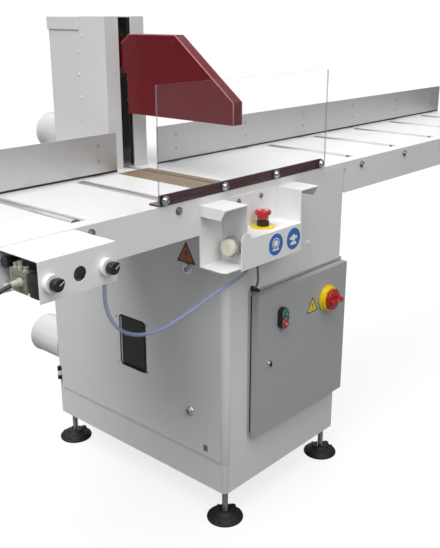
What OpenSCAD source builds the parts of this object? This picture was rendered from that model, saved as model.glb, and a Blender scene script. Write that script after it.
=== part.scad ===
// Up-cut cross-cut saw with roller tables.
// Frame: origin on the floor under the middle of the whole machine, +X along the table to the outfeed end,
// +Y to the back, +Z up. Millimetres.

/* [Cabinet] */
// Width of the cabinet, along the table
cab_w = 506; // [480:1:640]
// Depth of the cabinet, front to back
cab_d = 700; // [640:1:860]
// Height of the cabinet's floor above the ground
cab_clear = 94; // [70:1:130]
// Thickness of the cabinet's sheet steel
sheet = 3; // [2:0.5:5]
// Outer radius of the upright corners at the front
corner_r = 15; // [8:1:25]

/* [Table] */
// Height of the table surface above the ground
table_h = 920; // [860:1:1110]
// Thickness of the middle table plate
top_t = 18; // [12:1:22]
// Height of the roller tables' front and back beams
beam_h = 88; // [70:1:110]
// Thickness of the roller tables' plate
plate_t = 4; // [3:0.5:6]
// Distance from the front of the tables to the face of the fence
work_d = 355; // [330:1:420]
// Width of table behind the face of the fence
behind_fence = 45; // [40:1:80]
// Overhang of the middle table plate past the cabinet's left side
overhang = 77; // [60:1:120]
// Distance between neighbouring rollers
roller_pitch = 245; // [180:1:320]
// Distance from each table's inner end to its first roller
first_roller = 80; // [60:1:120]
// Number of rollers on the infeed table
infeed_rollers = 3; // [1:1:3]
// Number of rollers on the outfeed table
outfeed_rollers = 5; // [1:1:5]
// Length of infeed table past its last roller
infeed_margin = 122; // [60:1:250]
// Length of outfeed table past its last roller
outfeed_margin = 177; // [60:1:250]
// Diameter of the rollers
roller_d = 40; // [32:1:48]
// Height of the rollers above the table surface
roller_proud = 2; // [1:0.5:3]
// Width of the slots that the rollers stand in
roller_slot = 36; // [32:1:44]
// Height of the fence above the table
fence_h = 103; // [60:1:160]

/* [Saw] */
// Distance from the cabinet's left side to the plane of the blade
blade_in = 50; // [46:1:60]
// Diameter of the blade
blade_d = 430; // [350:1:440]
// Thickness of the blade
blade_t = 3.5; // [2.5:0.5:4.5]
// Number of teeth
teeth = 60; // [36:6:96]
// Width of the slot that the blade rises through
kerf_slot = 9; // [8:1:14]
// Width of the throat insert to the left of the blade
insert_left = 80; // [50:1:100]
// Width of the throat insert to the right of the blade
insert_right = 30; // [24:1:60]
// Thickness of the throat inserts
insert_t = 10; // [6:1:11]
// Radius of the two drive pulleys
pulley_r = 30; // [24:1:34]

/* [Column and guard] */
// Width of the column
col_w = 133; // [124:1:180]
// Depth of the column
col_d = 228; // [190:1:280]
// Height of the column above the table
col_h = 385; // [370:1:460]
// Width of the slot in the column's front
col_slot = 41; // [36:1:48]
// Thickness of the guard, outside
guard_t = 31; // [26:1:33]
// Thickness of the guard's sheet
guard_sheet = 2.5; // [1.5:0.5:4]
// Height of the guard's lower edge above the table
guard_rest = 146; // [143:1:160]

/* [Shield] */
// Length of the clear shield, along the table
shield_w = 613; // [480:1:760]
// Height of the clear shield
shield_h = 255; // [180:1:340]
// Thickness of the clear shield
shield_t = 5; // [4:1:8]
// Height of the bracket that holds the shield
bracket_h = 25; // [24:1:40]

/* [Controls] */
// Width and height of the switch enclosure
enc_size = 400; // [360:1:420]
// Depth of the switch enclosure behind the cabinet's front
enc_d = 160; // [100:1:166]
// Thickness of the enclosure's door
enc_door_t = 21.5; // [18:0.5:30]
// Depth of the two-hand control tray
tray_d = 80; // [74:1:110]
// Thickness of the tray's sheet
tray_t = 3; // [2:0.5:4]
// Diameter of the emergency-stop head
estop_d = 40; // [36:1:50]
// Diameter of the two palm buttons
palm_d = 40; // [32:1:46]

/* [Dust ports] */
// Diameter of the lower dust port
low_port_d = 120; // [100:1:124]
// Diameter of the upper dust port
high_port_d = 100; // [80:1:108]

/* [Feet] */
// Diameter of the foot pads
pad_d = 100; // [70:1:120]
// Diameter of the threaded stems
stem_d = 16; // [12:1:20]

/* [Hidden] */
$fn = 64;

fit = 0.05;      // running clearance of a pin in its bore, on the radius
gap = 0.5;       // clearance between a door and the sheet that it closes on
travel = 4;      // travel of every push button

// How far the tables reach past the cabinet, and where that puts the cabinet's middle
infeed_reach = overhang + first_roller + (infeed_rollers - 1) * roller_pitch + infeed_margin;
outfeed_reach = first_roller + (outfeed_rollers - 1) * roller_pitch + outfeed_margin;
low_port_l = 145;
knob_reach = 154;
cab_x = (infeed_reach - outfeed_reach) / 2;
cab_y = (knob_reach - low_port_l) / 2;

// Sides of the cabinet
left = cab_x - cab_w / 2;
right = cab_x + cab_w / 2;
front = cab_y - cab_d / 2;
back = cab_y + cab_d / 2;
cab_top = table_h - top_t;
beam_z = table_h - beam_h;

// Tables
centre_left = left - overhang;
infeed_end = left - infeed_reach;
outfeed_end = right + outfeed_reach;
fence_y = front + work_d;
table_back = fence_y + behind_fence;
in_rollers = [for (i = [0 : infeed_rollers - 1]) centre_left - first_roller - i * roller_pitch];
out_rollers = [for (i = [0 : outfeed_rollers - 1]) right + first_roller + i * roller_pitch];
roller_x = concat(in_rollers, out_rollers);
slot_front = front + 36;
slot_back = fence_y - 19;
roller_z = table_h + roller_proud - roller_d / 2;
axle_r = 6;

// Saw
blade_x = left + blade_in;
blade_r = blade_d / 2;
pivot_y = back - 110;
pivot_z = table_h - 200;
arm_reach = 360;
arm_drop = 40;
spindle_y = pivot_y - arm_reach;
spindle_z = pivot_z - arm_drop;
arm_tilt = atan2(arm_drop, arm_reach);
arm_swing = 29;
arm_half = 35;
spindle_r = 12;
arm_x0 = blade_x + 13;
arm_x1 = arm_x0 + 58;
tube_x1 = arm_x0 + 340;
belt_x0 = arm_x1 + 10;
belt_w = 16;
motor_dy = -50;
motor_dz = -130;
motor_y = pivot_y + motor_dy;
motor_z = pivot_z + motor_dz;
motor_r = 80;
motor_x0 = belt_x0 + 30;
motor_dist = norm([motor_dy, motor_dz]);
slot_half = 216;
slot_mid = pivot_y - 334;
slot_y0 = slot_mid - slot_half;
slot_y1 = slot_mid + slot_half;
throat_y0 = front + 30;

// Lift cylinder under the arm
lift_x = (arm_x0 + arm_x1) / 2 - 1;
lift_y = pivot_y - 200;
lift_roller_r = 18;
lift_z = pivot_z + (lift_y - pivot_y) * tan(arm_tilt) - (arm_half + lift_roller_r) / cos(arm_tilt) - 0.7;
lift_rod_r = 10;
lift_body_r = 26;
lift_top = lift_z - 38;
lift_bottom = lift_top - 226;

// Column and guard
col_x0 = blade_x - col_w / 2;
col_x1 = blade_x + col_w / 2;
col_y0 = fence_y + 35;
col_y1 = col_y0 + col_d;
col_top = table_h + col_h;
col_sheet = 3;
cap_y = col_y0 + 98;
cap_h = 33;
guard_z = table_h + guard_rest;
guard_top = guard_z + 197;
guard_y0 = front + 8;
guard_y1 = col_y0 - 2;
guard_flat = guard_y0 + 187;
guard_nose = guard_z + 52;
guard_step = guard_z + 101;
rail_w = 24;
rail_y = col_y0 + 45;
rail_back = rail_y + 20;
rail_z0 = guard_z - 56;
rod_x = blade_x - 42;
rod_y = rail_y - 10;
rod_r = 8;
cyl_top = guard_z + 47;

// Enclosure
enc_x0 = right - 415;
enc_x1 = enc_x0 + enc_size;
enc_z0 = cab_clear + 146;
enc_z1 = enc_z0 + enc_size;
enc_front = front - 30;
enc_door_back = enc_front + enc_door_t;
enc_mid_z = (enc_z0 + enc_z1) / 2;
enc_hinge_x = enc_x1 + 5;
enc_hinge_y = front - 7.5;
button_x = enc_x0 + 94;
button_z = enc_z1 - 82;
button_rr = 12;
switch_x = enc_x1 - 98;
switch_z = enc_z1 - 85;

// Side door
door_out = 3.5;
door_in = left - gap;
door_y1 = back - 15;
door_z0 = cab_clear + 94;
door_z1 = beam_z - 10;
hinge_x = left - 6.5;
hinge_y = back - 6;
hinge_z = [cab_clear + 140, door_z1 - 46];
lock_y = front + 125;
lock_z = [cab_clear + 209, cab_clear + 609];
hole_y0 = front + 88;
hole_y1 = back - 50;
hole_z0 = cab_clear + 136;
hole_z1 = beam_z - 52;
win_y = [-57, 45];
win_z = [cab_clear + 265, cab_clear + 417];

// Two-hand control tray
tray_x0 = left - 92;
tray_x1 = tray_x0 + 353;
tray_y0 = front - tray_d;
tray_wall_l = tray_x0 + 75;
tray_wall_r = tray_x0 + 280;
tray_z0 = table_h - 165;
tray_z1 = table_h - 17;
tray_shelf = table_h - 98;
estop_x = tray_x0 + 188;
estop_y = front - 35;
palm_y = front - 42;
palm_z = table_h - 120;

// Valve cover and its contents
valve_x1 = centre_left - 364;
valve_x0 = valve_x1 - 173;
valve_y0 = front - 120;
valve_z1 = table_h - 2;
valve_z0 = valve_z1 - 77;
knob_x = [valve_x0 + 22, valve_x1 - 27];
knob_z = valve_z0 + 35;

// Shield and bracket
shield_x0 = left - 218;
shield_x1 = shield_x0 + shield_w;
bracket_d = 32;
shield_bolts = [for (i = [0 : 3]) shield_x0 + 18 + i * (shield_w - 36) / 3];
bolt_z = table_h + 13;

// Dust ports
low_port_x = left + 60;
low_port_z = cab_clear + 218;
high_port_x = blade_x + 3;
high_port_z = table_h + 65;
port_wall = 2;

// Feet
foot_x = [left + 28, right - 28];
foot_y = [front + 25, back - 25];
stem_r = stem_d / 2;

// Routes of the free tube and cables: their two ends, and the shares of the way between them
function route(a, b, shares) = [for (f = shares) [for (i = [0 : 2]) a[i] + f[i] * (b[i] - a[i])]];
AIR_FROM = [valve_x1 - 12, valve_y0 + 24, valve_z0 + 4.6];
AIR_TO = [tray_x0 + 119, front - 52, tray_z0 + 2];
AIR_ROUTE = route(AIR_FROM, AIR_TO, [[0, 0, 0], [0, 0, 0.27], [0.002, 0.02, 0.55], [0.013, 0.03, 0.83],
    [0.038, 0.05, 1.09], [0.075, 0.09, 1.33], [0.123, 0.14, 1.52], [0.181, 0.2, 1.66], [0.246, 0.27, 1.75],
    [0.313, 0.34, 1.79], [0.381, 0.41, 1.79], [0.45, 0.48, 1.75], [0.521, 0.55, 1.7], [0.592, 0.61, 1.63],
    [0.663, 0.68, 1.56], [0.733, 0.75, 1.5], [0.804, 0.82, 1.45], [0.871, 0.88, 1.41], [0.925, 0.93, 1.37],
    [0.967, 0.97, 1.3], [0.992, 1, 1.17], [1, 1, 1]]);
AIR_D = 8;
CABLE_FROM = [tray_x0 + 155, front - 46, tray_z0 + 2];
CABLE_TO = [enc_x0 + 2, front - 6, enc_z1 + 16];
CABLE_ROUTE = route(CABLE_FROM, CABLE_TO, [[0, 0, 0], [0, 0, 0.15], [0.07, 0, 0.31], [0.2, 0.05, 0.47],
    [0.4, 0.15, 0.61], [0.6, 0.3, 0.74], [0.77, 0.48, 0.85], [0.9, 0.65, 0.93], [0.97, 0.83, 0.98], [1, 1, 1]]);
CABLE_D = 6;
LEAD_FROM = [valve_x0 + 4.6, valve_y0 + 60, valve_z0 + 27];
LEAD_TO = [infeed_end + 34, front + 18, beam_z - 0.4];
LEAD_ROUTE = route(LEAD_FROM, LEAD_TO, [[0, 0, 0], [0.13, 0, 0.03], [0.27, 0.04, 0.17], [0.4, 0.12, 0.44],
    [0.53, 0.23, 0.83], [0.64, 0.38, 1.19], [0.75, 0.55, 1.47], [0.84, 0.72, 1.61], [0.92, 0.86, 1.58],
    [0.98, 0.96, 1.36], [1, 1, 1]]);
LEAD_D = 8;

// Boxes and cylinders by their ends
module box(a, b) translate(a) cube([for (i = [0 : 2]) b[i] - a[i]]);
module xcyl(x0, x1, y, z, r) translate([x0, y, z]) rotate([0, 90, 0]) cylinder(h = x1 - x0, r = r);
module ycyl(x, y0, y1, z, r) translate([x, y1, z]) rotate([90, 0, 0]) cylinder(h = y1 - y0, r = r);
module zcyl(x, y, z0, z1, r) translate([x, y, z0]) cylinder(h = z1 - z0, r = r);

// Rectangle with the front corners rounded
module front_round(x0, y0, x1, y1, r) {
    translate([x0, y0 + r]) square([x1 - x0, y1 - y0 - r]);
    translate([x0 + r, y0]) square([x1 - x0 - 2 * r, r + 1]);
    for (x = [x0 + r, x1 - r]) translate([x, y0 + r]) circle(r);
}

// Rectangle with all four corners rounded
module round_rect(x0, y0, x1, y1, r) {
    translate([x0, y0 + r]) square([x1 - x0, y1 - y0 - 2 * r]);
    translate([x0 + r, y0]) square([x1 - x0 - 2 * r, y1 - y0]);
    for (x = [x0 + r, x1 - r], y = [y0 + r, y1 - r]) translate([x, y]) circle(r);
}

// A flat outline drawn as (y, z), given thickness along X from x0 to x1
module yz_plate(x0, x1) translate([x0, 0, 0]) rotate([90, 0, 90]) linear_extrude(x1 - x0) children();

// A flat outline drawn as (x, z), given thickness along Y from y0 to y1
module xz_plate(y0, y1) translate([0, y1, 0]) rotate([90, 0, 0]) linear_extrude(y1 - y0) children();

// Domed screw head on a face that looks to the front
module dome_front(x, y, z, r, h) {
    ycyl(x, y - h * 0.6, y, z, r);
    ycyl(x, y - h, y - h * 0.6, z, r * 0.72);
}

// Tube swept along a route, as one closed shape
function unit(v) = v / norm(v);
function tangent(p, i) = unit(p[min(i + 1, len(p) - 1)] - p[max(i - 1, 0)]);
function side_of(t) = unit(abs(t[2]) > 0.9 ? cross(t, [0, 1, 0]) : cross(t, [0, 0, 1]));
function next_side(s, t) = unit(s - (s * t) * t);
function sides(p, i) = i == 0 ? [side_of(tangent(p, 0))]
    : let (prev = sides(p, i - 1)) concat(prev, [next_side(prev[i - 1], tangent(p, i))]);
function curve_point(a, b, c, d, t) = 0.5 * ((2 * b) + (c - a) * t + (2 * a - 5 * b + 4 * c - d) * t * t
    + (3 * b - a - 3 * c + d) * t * t * t);
function smooth(p, steps) = concat([for (i = [0 : len(p) - 2], k = [0 : steps - 1])
    curve_point(p[max(i - 1, 0)], p[i], p[i + 1], p[min(i + 2, len(p) - 1)], k / steps)], [p[len(p) - 1]]);
module sweep(route, d, facets = 10) {
    n = len(route);
    s = sides(route, n - 1);
    points = [for (i = [0 : n - 1]) let (t = tangent(route, i), u = s[i], v = cross(t, u))
        for (k = [0 : facets - 1]) let (a = 360 * k / facets)
            route[i] + d / 2 * (cos(a) * u + sin(a) * v)];
    walls = [for (i = [0 : n - 2], k = [0 : facets - 1]) let (j = (k + 1) % facets)
        [i * facets + k, i * facets + j, (i + 1) * facets + j, (i + 1) * facets + k]];
    first = [for (k = [facets - 1 : -1 : 0]) k];
    last = [for (k = [0 : facets - 1]) (n - 1) * facets + k];
    polyhedron(points, concat([first], walls, [last]), convexity = 6);
}

// ---- Cabinet ----

module cabinet_shell() difference() {
    translate([0, 0, cab_clear]) linear_extrude(cab_top - cab_clear)
        front_round(left, front, right, back, corner_r);
    translate([0, 0, cab_clear + sheet]) linear_extrude(cab_top - cab_clear - 2 * sheet)
        front_round(left + sheet, front + sheet, right - sheet, back - sheet, corner_r - sheet);
    // Open top inside a rim that carries the middle table
    box([left + 30, front + 30, cab_top - sheet - 1], [right - 30, back - 30, cab_top + 1]);
    box([enc_x0, front - 1, enc_z0], [enc_x1, front + sheet + 1, enc_z1]);
    box([left - 1, hole_y0, hole_z0], [left + sheet + 1, hole_y1, hole_z1]);
    ycyl(low_port_x, back - sheet - 1, back + 1, low_port_z, low_port_d / 2 - port_wall);
    for (x = foot_x, y = foot_y)
        zcyl(x, y, cab_clear - 1, cab_clear + sheet + 1, stem_r + fit);
}

module foot_boss(x, y) difference() {
    box([x - 20, y - 20, cab_clear + sheet - 1], [x + 20, y + 20, cab_clear + 20]);
    zcyl(x, y, cab_clear, cab_clear + 21, stem_r + fit);
}

module pivot_bracket(x0, x1) difference() {
    box([x0, pivot_y - 34, pivot_z - 34], [x1, back - sheet + 1, pivot_z + 34]);
    xcyl(x0 - 1, x1 + 1, pivot_y, pivot_z, 15 + fit);
}

module infeed_support() {
    box([centre_left, front, beam_z], [centre_left + 6, table_back, cab_top]);
    box([centre_left, front, beam_z], [left + 1, front + 6, cab_top]);
    box([centre_left, table_back - 6, beam_z], [left + 1, table_back, cab_top]);
}

module cabinet() color("gainsboro") {
    difference() {
        union() {
            cabinet_shell();
            infeed_support();
        }
        // The corner behind the support stays round inside
        translate([0, 0, cab_clear + sheet]) linear_extrude(cab_top - cab_clear - 2 * sheet)
            front_round(left + sheet, front + sheet, right - sheet, back - sheet, corner_r - sheet);
    }
    for (x = foot_x, y = foot_y) foot_boss(x, y);
    pivot_bracket(arm_x0 - 30, arm_x0 - 2);
    pivot_bracket(tube_x1 + 2, tube_x1 + 30);
    box([lift_x - 26, lift_y - 26, cab_clear + sheet - 1], [lift_x + 26, lift_y + 26, lift_bottom]);
    // Gland for the control cable
    ycyl(CABLE_TO[0], CABLE_TO[1] + 0.5, front + 1, CABLE_TO[2], 7);
}

// Outline of the side door's sheet, seen from above, with its bend round the front corner
module door_outline() {
    t = sheet;
    ro = corner_r + gap + t;
    ri = corner_r + gap;
    cx = left + corner_r;
    cy = front + corner_r;
    translate([door_in - t, cy]) square([t, door_y1 - cy]);
    intersection() {
        difference() {
            translate([cx, cy]) circle(ro);
            translate([cx, cy]) circle(ri);
        }
        translate([cx - ro - 1, cy - ro - 1]) square([ro + 1, ro + 1]);
    }
}

module side_door() color("gainsboro") {
    difference() {
        translate([0, 0, door_z0]) linear_extrude(door_z1 - door_z0) door_outline();
        // Above the control tray the door stops short of the corner
        box([left - 40, front - 40, tray_z0 - 8], [left + 40, front + 32, door_z1 + 1]);
        yz_plate(door_in - sheet - 1, door_in + 1) round_rect(win_y[0], win_z[0], win_y[1], win_z[1], 7);
        for (z = lock_z) xcyl(door_in - sheet - 1, door_in + 1, lock_y, z, 5 + fit);
    }
    for (z = hinge_z) difference() {
        union() {
            zcyl(hinge_x, hinge_y, z - 7.7, z + 7.7, 6);
            box([door_in - sheet, door_y1 - 8, z - 7.7], [door_in - 0.5, hinge_y - 3, z + 7.7]);
        }
        zcyl(hinge_x, hinge_y, z - 8, z + 8, 3 + fit);
    }
}

module door_window() color([0.12, 0.12, 0.13, 0.8])
    yz_plate(door_in, door_in + 4) round_rect(win_y[0] - 13, win_z[0] - 13, win_y[1] + 13, win_z[1] + 13, 9);

module door_hinges() color("black") for (z = hinge_z) {
    zcyl(hinge_x, hinge_y, z - 21, z + 21, 3);
    for (s = [-1, 1]) translate([0, 0, z + s * 14.5]) {
        zcyl(hinge_x, hinge_y, -6.5, 6.5, 6);
        box([hinge_x, hinge_y, -6.5], [left, hinge_y + 6, 6.5]);
    }
}

module door_lock(z) color("silver") {
    xcyl(door_in - sheet - 3, door_in - sheet, lock_y, z, 12);
    xcyl(door_in - sheet - 6, door_in - sheet - 2, lock_y, z, 9);
    xcyl(door_in - sheet - 1, left + sheet + gap + 3, lock_y, z, 5);
    box([left + sheet + gap, lock_y - 7, z - 12], [left + sheet + gap + 3, lock_y + 7, z + 45]);
}

// ---- Switch enclosure ----

module enclosure_box() color("lightgray") {
    difference() {
        box([enc_x0 + gap, front - 3, enc_z0 + gap], [enc_x1 - gap, front + enc_d, enc_z1 - gap]);
        box([enc_x0 + gap + 2, front - 4, enc_z0 + gap + 2], [enc_x1 - gap - 2, front + enc_d - 2, enc_z1 - gap - 2]);
    }
    difference() {
        box([enc_x0 - 6, front - 3, enc_z0 - 6], [enc_x1 + 10, front, enc_z1 + 6]);
        box([enc_x0 + 12, front - 4, enc_z0 + 12], [enc_x1 - 12, front + 1, enc_z1 - 12]);
    }
    for (z = [enc_z0 + 60, enc_z1 - 60]) {
        zcyl(enc_hinge_x, enc_hinge_y, z - 20, z + 20, 2.5);
        for (s = [-1, 1]) translate([0, 0, z + s * 14]) {
            zcyl(enc_hinge_x, enc_hinge_y, -6, 6, 4.5);
            box([enc_hinge_x - 4.5, enc_hinge_y, -6], [enc_hinge_x + 4.5, front - 2, 6]);
        }
    }
}

module enclosure_door() color("darkgray") {
    difference() {
        box([enc_x0, enc_front, enc_z0], [enc_x1, enc_door_back, enc_z1]);
        box([enc_x0 + 2, enc_front + 2, enc_z0 + 2], [enc_x1 - 2, enc_door_back + 1, enc_z1 - 2]);
        ycyl(enc_x0 + 50, enc_front - 1, enc_front + 3, enc_mid_z, 4 + fit);
    }
    for (z = [enc_z0 + 60, enc_z1 - 60]) difference() {
        union() {
            zcyl(enc_hinge_x, enc_hinge_y, z - 7.7, z + 7.7, 4.5);
            box([enc_x1 - 1, enc_hinge_y - 4.5, z - 7.7], [enc_hinge_x, enc_hinge_y - 1.5, z + 7.7]);
        }
        zcyl(enc_hinge_x, enc_hinge_y, z - 8, z + 8, 2.5 + fit);
    }
}

module enclosure_lock() color("silver") {
    x = enc_x0 + 50;
    ycyl(x, enc_front - 3, enc_front, enc_mid_z, 8);
    ycyl(x, enc_front - 5, enc_front - 2, enc_mid_z, 5);
    ycyl(x, enc_front - 1, front + 3, enc_mid_z, 4);
    box([x - 6, front + 0.5, enc_mid_z - 8], [x + 6, front + 3.5, enc_mid_z + 44]);
}

module button_bezel() color("black") difference() {
    xz_plate(enc_front - 16, enc_front) round_rect(button_x - 15, button_z - 29, button_x + 15, button_z + 29, 14);
    for (s = [-1, 1]) ycyl(button_x, enc_front - 17, enc_front - 3, button_z + s * 14, button_rr + fit);
}

module push_button(s, tint) color(tint) {
    ycyl(button_x, enc_front - 18, enc_front - 8, button_z + s * 14, button_rr);
    ycyl(button_x, enc_front - 19.5, enc_front - 17, button_z + s * 14, button_rr - 2);
}

module switch_base() color("gold") difference() {
    union() {
        ycyl(switch_x, enc_front - 8, enc_front, switch_z, 38);
        ycyl(switch_x, enc_front - 18, enc_front - 7, switch_z, 35);
    }
    ycyl(switch_x, enc_front - 19, enc_front - 4, switch_z, 5 + fit);
}

module switch_knob() color("firebrick") {
    ycyl(switch_x, enc_front - 28, enc_front - 18.5, switch_z, 30);
    ycyl(switch_x, enc_front - 19, enc_front - 6, switch_z, 5);
    xz_plate(enc_front - 42, enc_front - 27) round_rect(switch_x - 27, switch_z - 8, switch_x + 27, switch_z + 8, 7);
}

// ---- Feet ----

module foot(x, y) {
    color("black") difference() {
        union() {
            translate([x, y, 0]) rotate_extrude() polygon([[0, 0], [pad_d / 2, 0], [pad_d / 2, 7],
                [pad_d / 2 - 3, 10], [pad_d * 0.34, 16], [pad_d * 0.22, 26], [0, 26]]);
            zcyl(x + pad_d * 0.32, y, 3, 21, 9);
        }
        zcyl(x, y, 12, 27, stem_r + 1);
    }
    color("silver") {
        zcyl(x, y, 12, cab_clear + 36, stem_r);
        translate([x, y, cab_clear - 13]) cylinder(h = 13, r = stem_r * 1.75, $fn = 6);
    }
}

// ---- Tables, rollers and fence ----

module centre_table() color("whitesmoke") difference() {
    box([centre_left, front, cab_top], [right, back, table_h]);
    // Recess for the throat inserts, with a ledge under their edges
    box([blade_x - insert_left, throat_y0, table_h - insert_t], [blade_x + insert_right, fence_y - 9, table_h + 1]);
    box([blade_x - insert_left + 8, throat_y0 + 8, cab_top - 1],
        [blade_x + insert_right - 8, fence_y - 17, table_h + 1]);
    // The blade runs on under the fence and into the column
    box([blade_x - 10, fence_y - 20, cab_top - 1], [blade_x + 10, slot_y1 + 6, table_h + 1]);
}

module throat_inserts() color("burlywood") {
    box([blade_x - insert_left, throat_y0, table_h - insert_t], [blade_x - kerf_slot / 2, fence_y - 9, table_h]);
    box([blade_x + kerf_slot / 2, throat_y0, table_h - insert_t], [blade_x + insert_right, fence_y - 9, table_h]);
}

// Roller table: a plate with folded beams, closed at both ends
module roller_table(x0, x1, rollers) color("whitesmoke") difference() {
    box([x0, front, beam_z], [x1, table_back, table_h]);
    box([x0 + plate_t, front + plate_t, beam_z + plate_t], [x1 - plate_t, table_back - plate_t, table_h - plate_t]);
    box([x0 + 40, front + 40, beam_z - 1], [x1 - 40, table_back - 40, beam_z + plate_t + 1]);
    for (x = rollers) {
        box([x - roller_slot / 2, slot_front, table_h - plate_t - 1], [x + roller_slot / 2, slot_back, table_h + 1]);
        ycyl(x, front - 1, table_back + 1, roller_z, axle_r + fit);
    }
}

module roller(i) if (i < len(roller_x)) color("slategray") difference() {
    ycyl(roller_x[i], slot_front + 12, slot_back - 2, roller_z, roller_d / 2);
    ycyl(roller_x[i], slot_front + 11, slot_back - 1, roller_z, axle_r + fit);
    // Hollow between the end bushes
    ycyl(roller_x[i], slot_front + 36, slot_back - 26, roller_z, roller_d / 2 - 3);
}

module fence(x0, x1, feet) color("lightgray") {
    box([x0, fence_y, table_h + 6], [x1, fence_y + 4, table_h + fence_h]);
    for (x = feet) {
        box([x - 15, fence_y + 4, table_h], [x + 15, fence_y + 38, table_h + 6]);
        box([x - 15, fence_y + 3, table_h], [x + 15, fence_y + 9, table_h + fence_h - 12]);
    }
}

module infeed_fence() {
    x1 = col_x0 - 6;
    n = 3;
    fence(infeed_end, x1, [for (i = [0 : n - 1]) infeed_end + 60 + i * (x1 - infeed_end - 120) / (n - 1)]);
}

module outfeed_fence() {
    x0 = col_x1 + 6;
    n = 6;
    fence(x0, outfeed_end, [for (i = [0 : n - 1]) x0 + 70 + i * (outfeed_end - x0 - 130) / (n - 1)]);
}

module bolts_and_axles() color("dimgray") {
    for (x = roller_x) {
        ycyl(x, front - 1, table_back + 1, roller_z, axle_r);
        dome_front(x, front, roller_z, 9, 7);
        ycyl(x, table_back, table_back + 6, roller_z, 9);
    }
    for (x = shield_bolts) {
        ycyl(x, front - shield_t - 1, front + 5, bolt_z, 5);
        dome_front(x, front - shield_t, bolt_z, 8, 7);
        translate([x, front + 10, bolt_z]) rotate([90, 0, 0]) cylinder(h = 6, r = 8, $fn = 6);
    }
    for (x = [estop_x - 54, estop_x + 30]) dome_front(x, front - tray_t, table_h - 31, 6, 5);
    for (x = [col_x0 - 11, col_x1 + 11], y = [col_y0 + 40, col_y1 + 11])
        translate([x, y, table_h + 8]) cylinder(h = 7, r = 8, $fn = 6);
}

// ---- Column and guard ----

module column() color("whitesmoke") difference() {
    union() {
        box([col_x0, col_y0, table_h], [col_x1, col_y1, col_top]);
        box([col_x0 - 20, col_y0 + 25, table_h], [col_x1 + 20, col_y1 + 20, table_h + 8]);
    }
    box([col_x0 + col_sheet, col_y0 + col_sheet, table_h - 1],
        [col_x1 - col_sheet, col_y1 - col_sheet, col_top - col_sheet]);
    box([blade_x - col_slot / 2, col_y0 - 1, table_h - 1], [blade_x + col_slot / 2, col_y0 + 40, col_top + 1]);
    // Lower top at the back, under the cap
    box([col_x0 - 1, cap_y, col_top - 6], [col_x1 + 1, col_y1 + 1, col_top + 1]);
    ycyl(high_port_x, col_y1 - col_sheet - 1, col_y1 + 1, high_port_z, high_port_d / 2 - port_wall);
}

module column_cap() color("whitesmoke") difference() {
    box([col_x0 - 3, cap_y + 0.3, col_top - cap_h], [col_x1 + 3, col_y1 + 3, col_top - 1]);
    box([col_x0 - 0.2, cap_y - 1, col_top - cap_h - 1], [col_x1 + 0.2, col_y1 + 0.2, col_top - 6]);
}

module guard_side(inset) {
    e = inset;
    open = inset > 0 ? 9 : 0;
    polygon([[guard_y0 + e, guard_z - open], [guard_y0 + e, guard_nose - e * 0.4],
             [guard_flat + e * 0.35, guard_top - e], [guard_y1 - 33 - e * 0.4, guard_top - e],
             [guard_y1 + open, guard_top - 23 - e - open * 0.7], [guard_y1 + open, guard_step],
             [guard_y1 - 20 + open * 3, guard_step], [guard_y1 - 20 + open * 3, guard_z - open]]);
}

module guard() color("darkred") {
    x0 = blade_x - guard_t / 2;
    x1 = blade_x + guard_t / 2;
    difference() {
        yz_plate(x0, x1) guard_side(0);
        yz_plate(x0 + guard_sheet, x1 - guard_sheet) guard_side(guard_sheet);
    }
    // Carriage: through the column's slot, round the rail, and out to the piston rod
    difference() {
        union() {
            box([x0 + guard_sheet, guard_y1 - 38, guard_z + 124], [x1 - guard_sheet, rail_y - 14, guard_z + 164]);
            box([blade_x - 21, rail_y - 15, guard_z + 114], [blade_x + 21, rail_y + 13, guard_z + 191]);
            box([rod_x - 12, rod_y - 8, guard_z + 190], [blade_x + 10, rod_y + 8, guard_z + 200]);
            zcyl(rod_x, rod_y, guard_z + 12, guard_z + 192, rod_r);
        }
        box([blade_x - rail_w / 2 - 0.1, rail_y - 0.1, guard_z + 100], [blade_x + rail_w / 2 + 0.1, rail_y + 14, guard_z + 210]);
    }
}

module guard_rail() color("black") {
    box([blade_x - rail_w / 2, rail_y, rail_z0], [blade_x + rail_w / 2, rail_back + 1, col_top - 8]);
    box([col_x0 + col_sheet, rail_back, rail_z0 - 50], [col_x1 - col_sheet, rail_back + 8, col_top - 8]);
}

module guard_cylinder() color("silver") difference() {
    union() {
        zcyl(rod_x, rod_y, table_h, cyl_top, 14);
        box([rod_x - 15, rod_y - 16, table_h], [rod_x + 14, rod_y + 15, table_h + 12]);
    }
    zcyl(rod_x, rod_y, table_h + 13, cyl_top + 1, rod_r + fit);
}

// ---- Shield ----

module shield() color([0.85, 0.9, 0.92, 0.35]) difference() {
    xz_plate(front - shield_t, front) round_rect(shield_x0, table_h + 1, shield_x1, table_h + shield_h, 3);
    for (x = shield_bolts) ycyl(x, front - shield_t - 1, front + 1, bolt_z, 5 + 0.2);
}

module shield_bracket() color("darkred") difference() {
    union() {
        xz_plate(front, front + 4) round_rect(shield_x0 + 3, table_h, shield_x1 - 7, table_h + bracket_h, 4);
        translate([0, 0, table_h]) linear_extrude(4)
            round_rect(shield_x0 + 3, front, shield_x1 - 7, front + bracket_d, 1.5);
    }
    for (x = shield_bolts) ycyl(x, front - 1, front + 6, bolt_z, 5 + 0.2);
}

// ---- Two-hand control tray ----

module tray_lip(x) yz_plate(x, x + tray_t)
    polygon([[front - tray_t, tray_z1 - 1], [tray_y0, tray_z1 - 1], [tray_y0 + 14, tray_z1 - 26],
             [front - tray_t, tray_z1 - 26]]);

module palm_collar(x0, x1) difference() {
    xcyl(x0, x1, palm_y, palm_z, palm_d / 2 + 4);
    xcyl(x0 - 1, x1 + 1, palm_y, palm_z, palm_d / 2 + fit);
}

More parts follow.
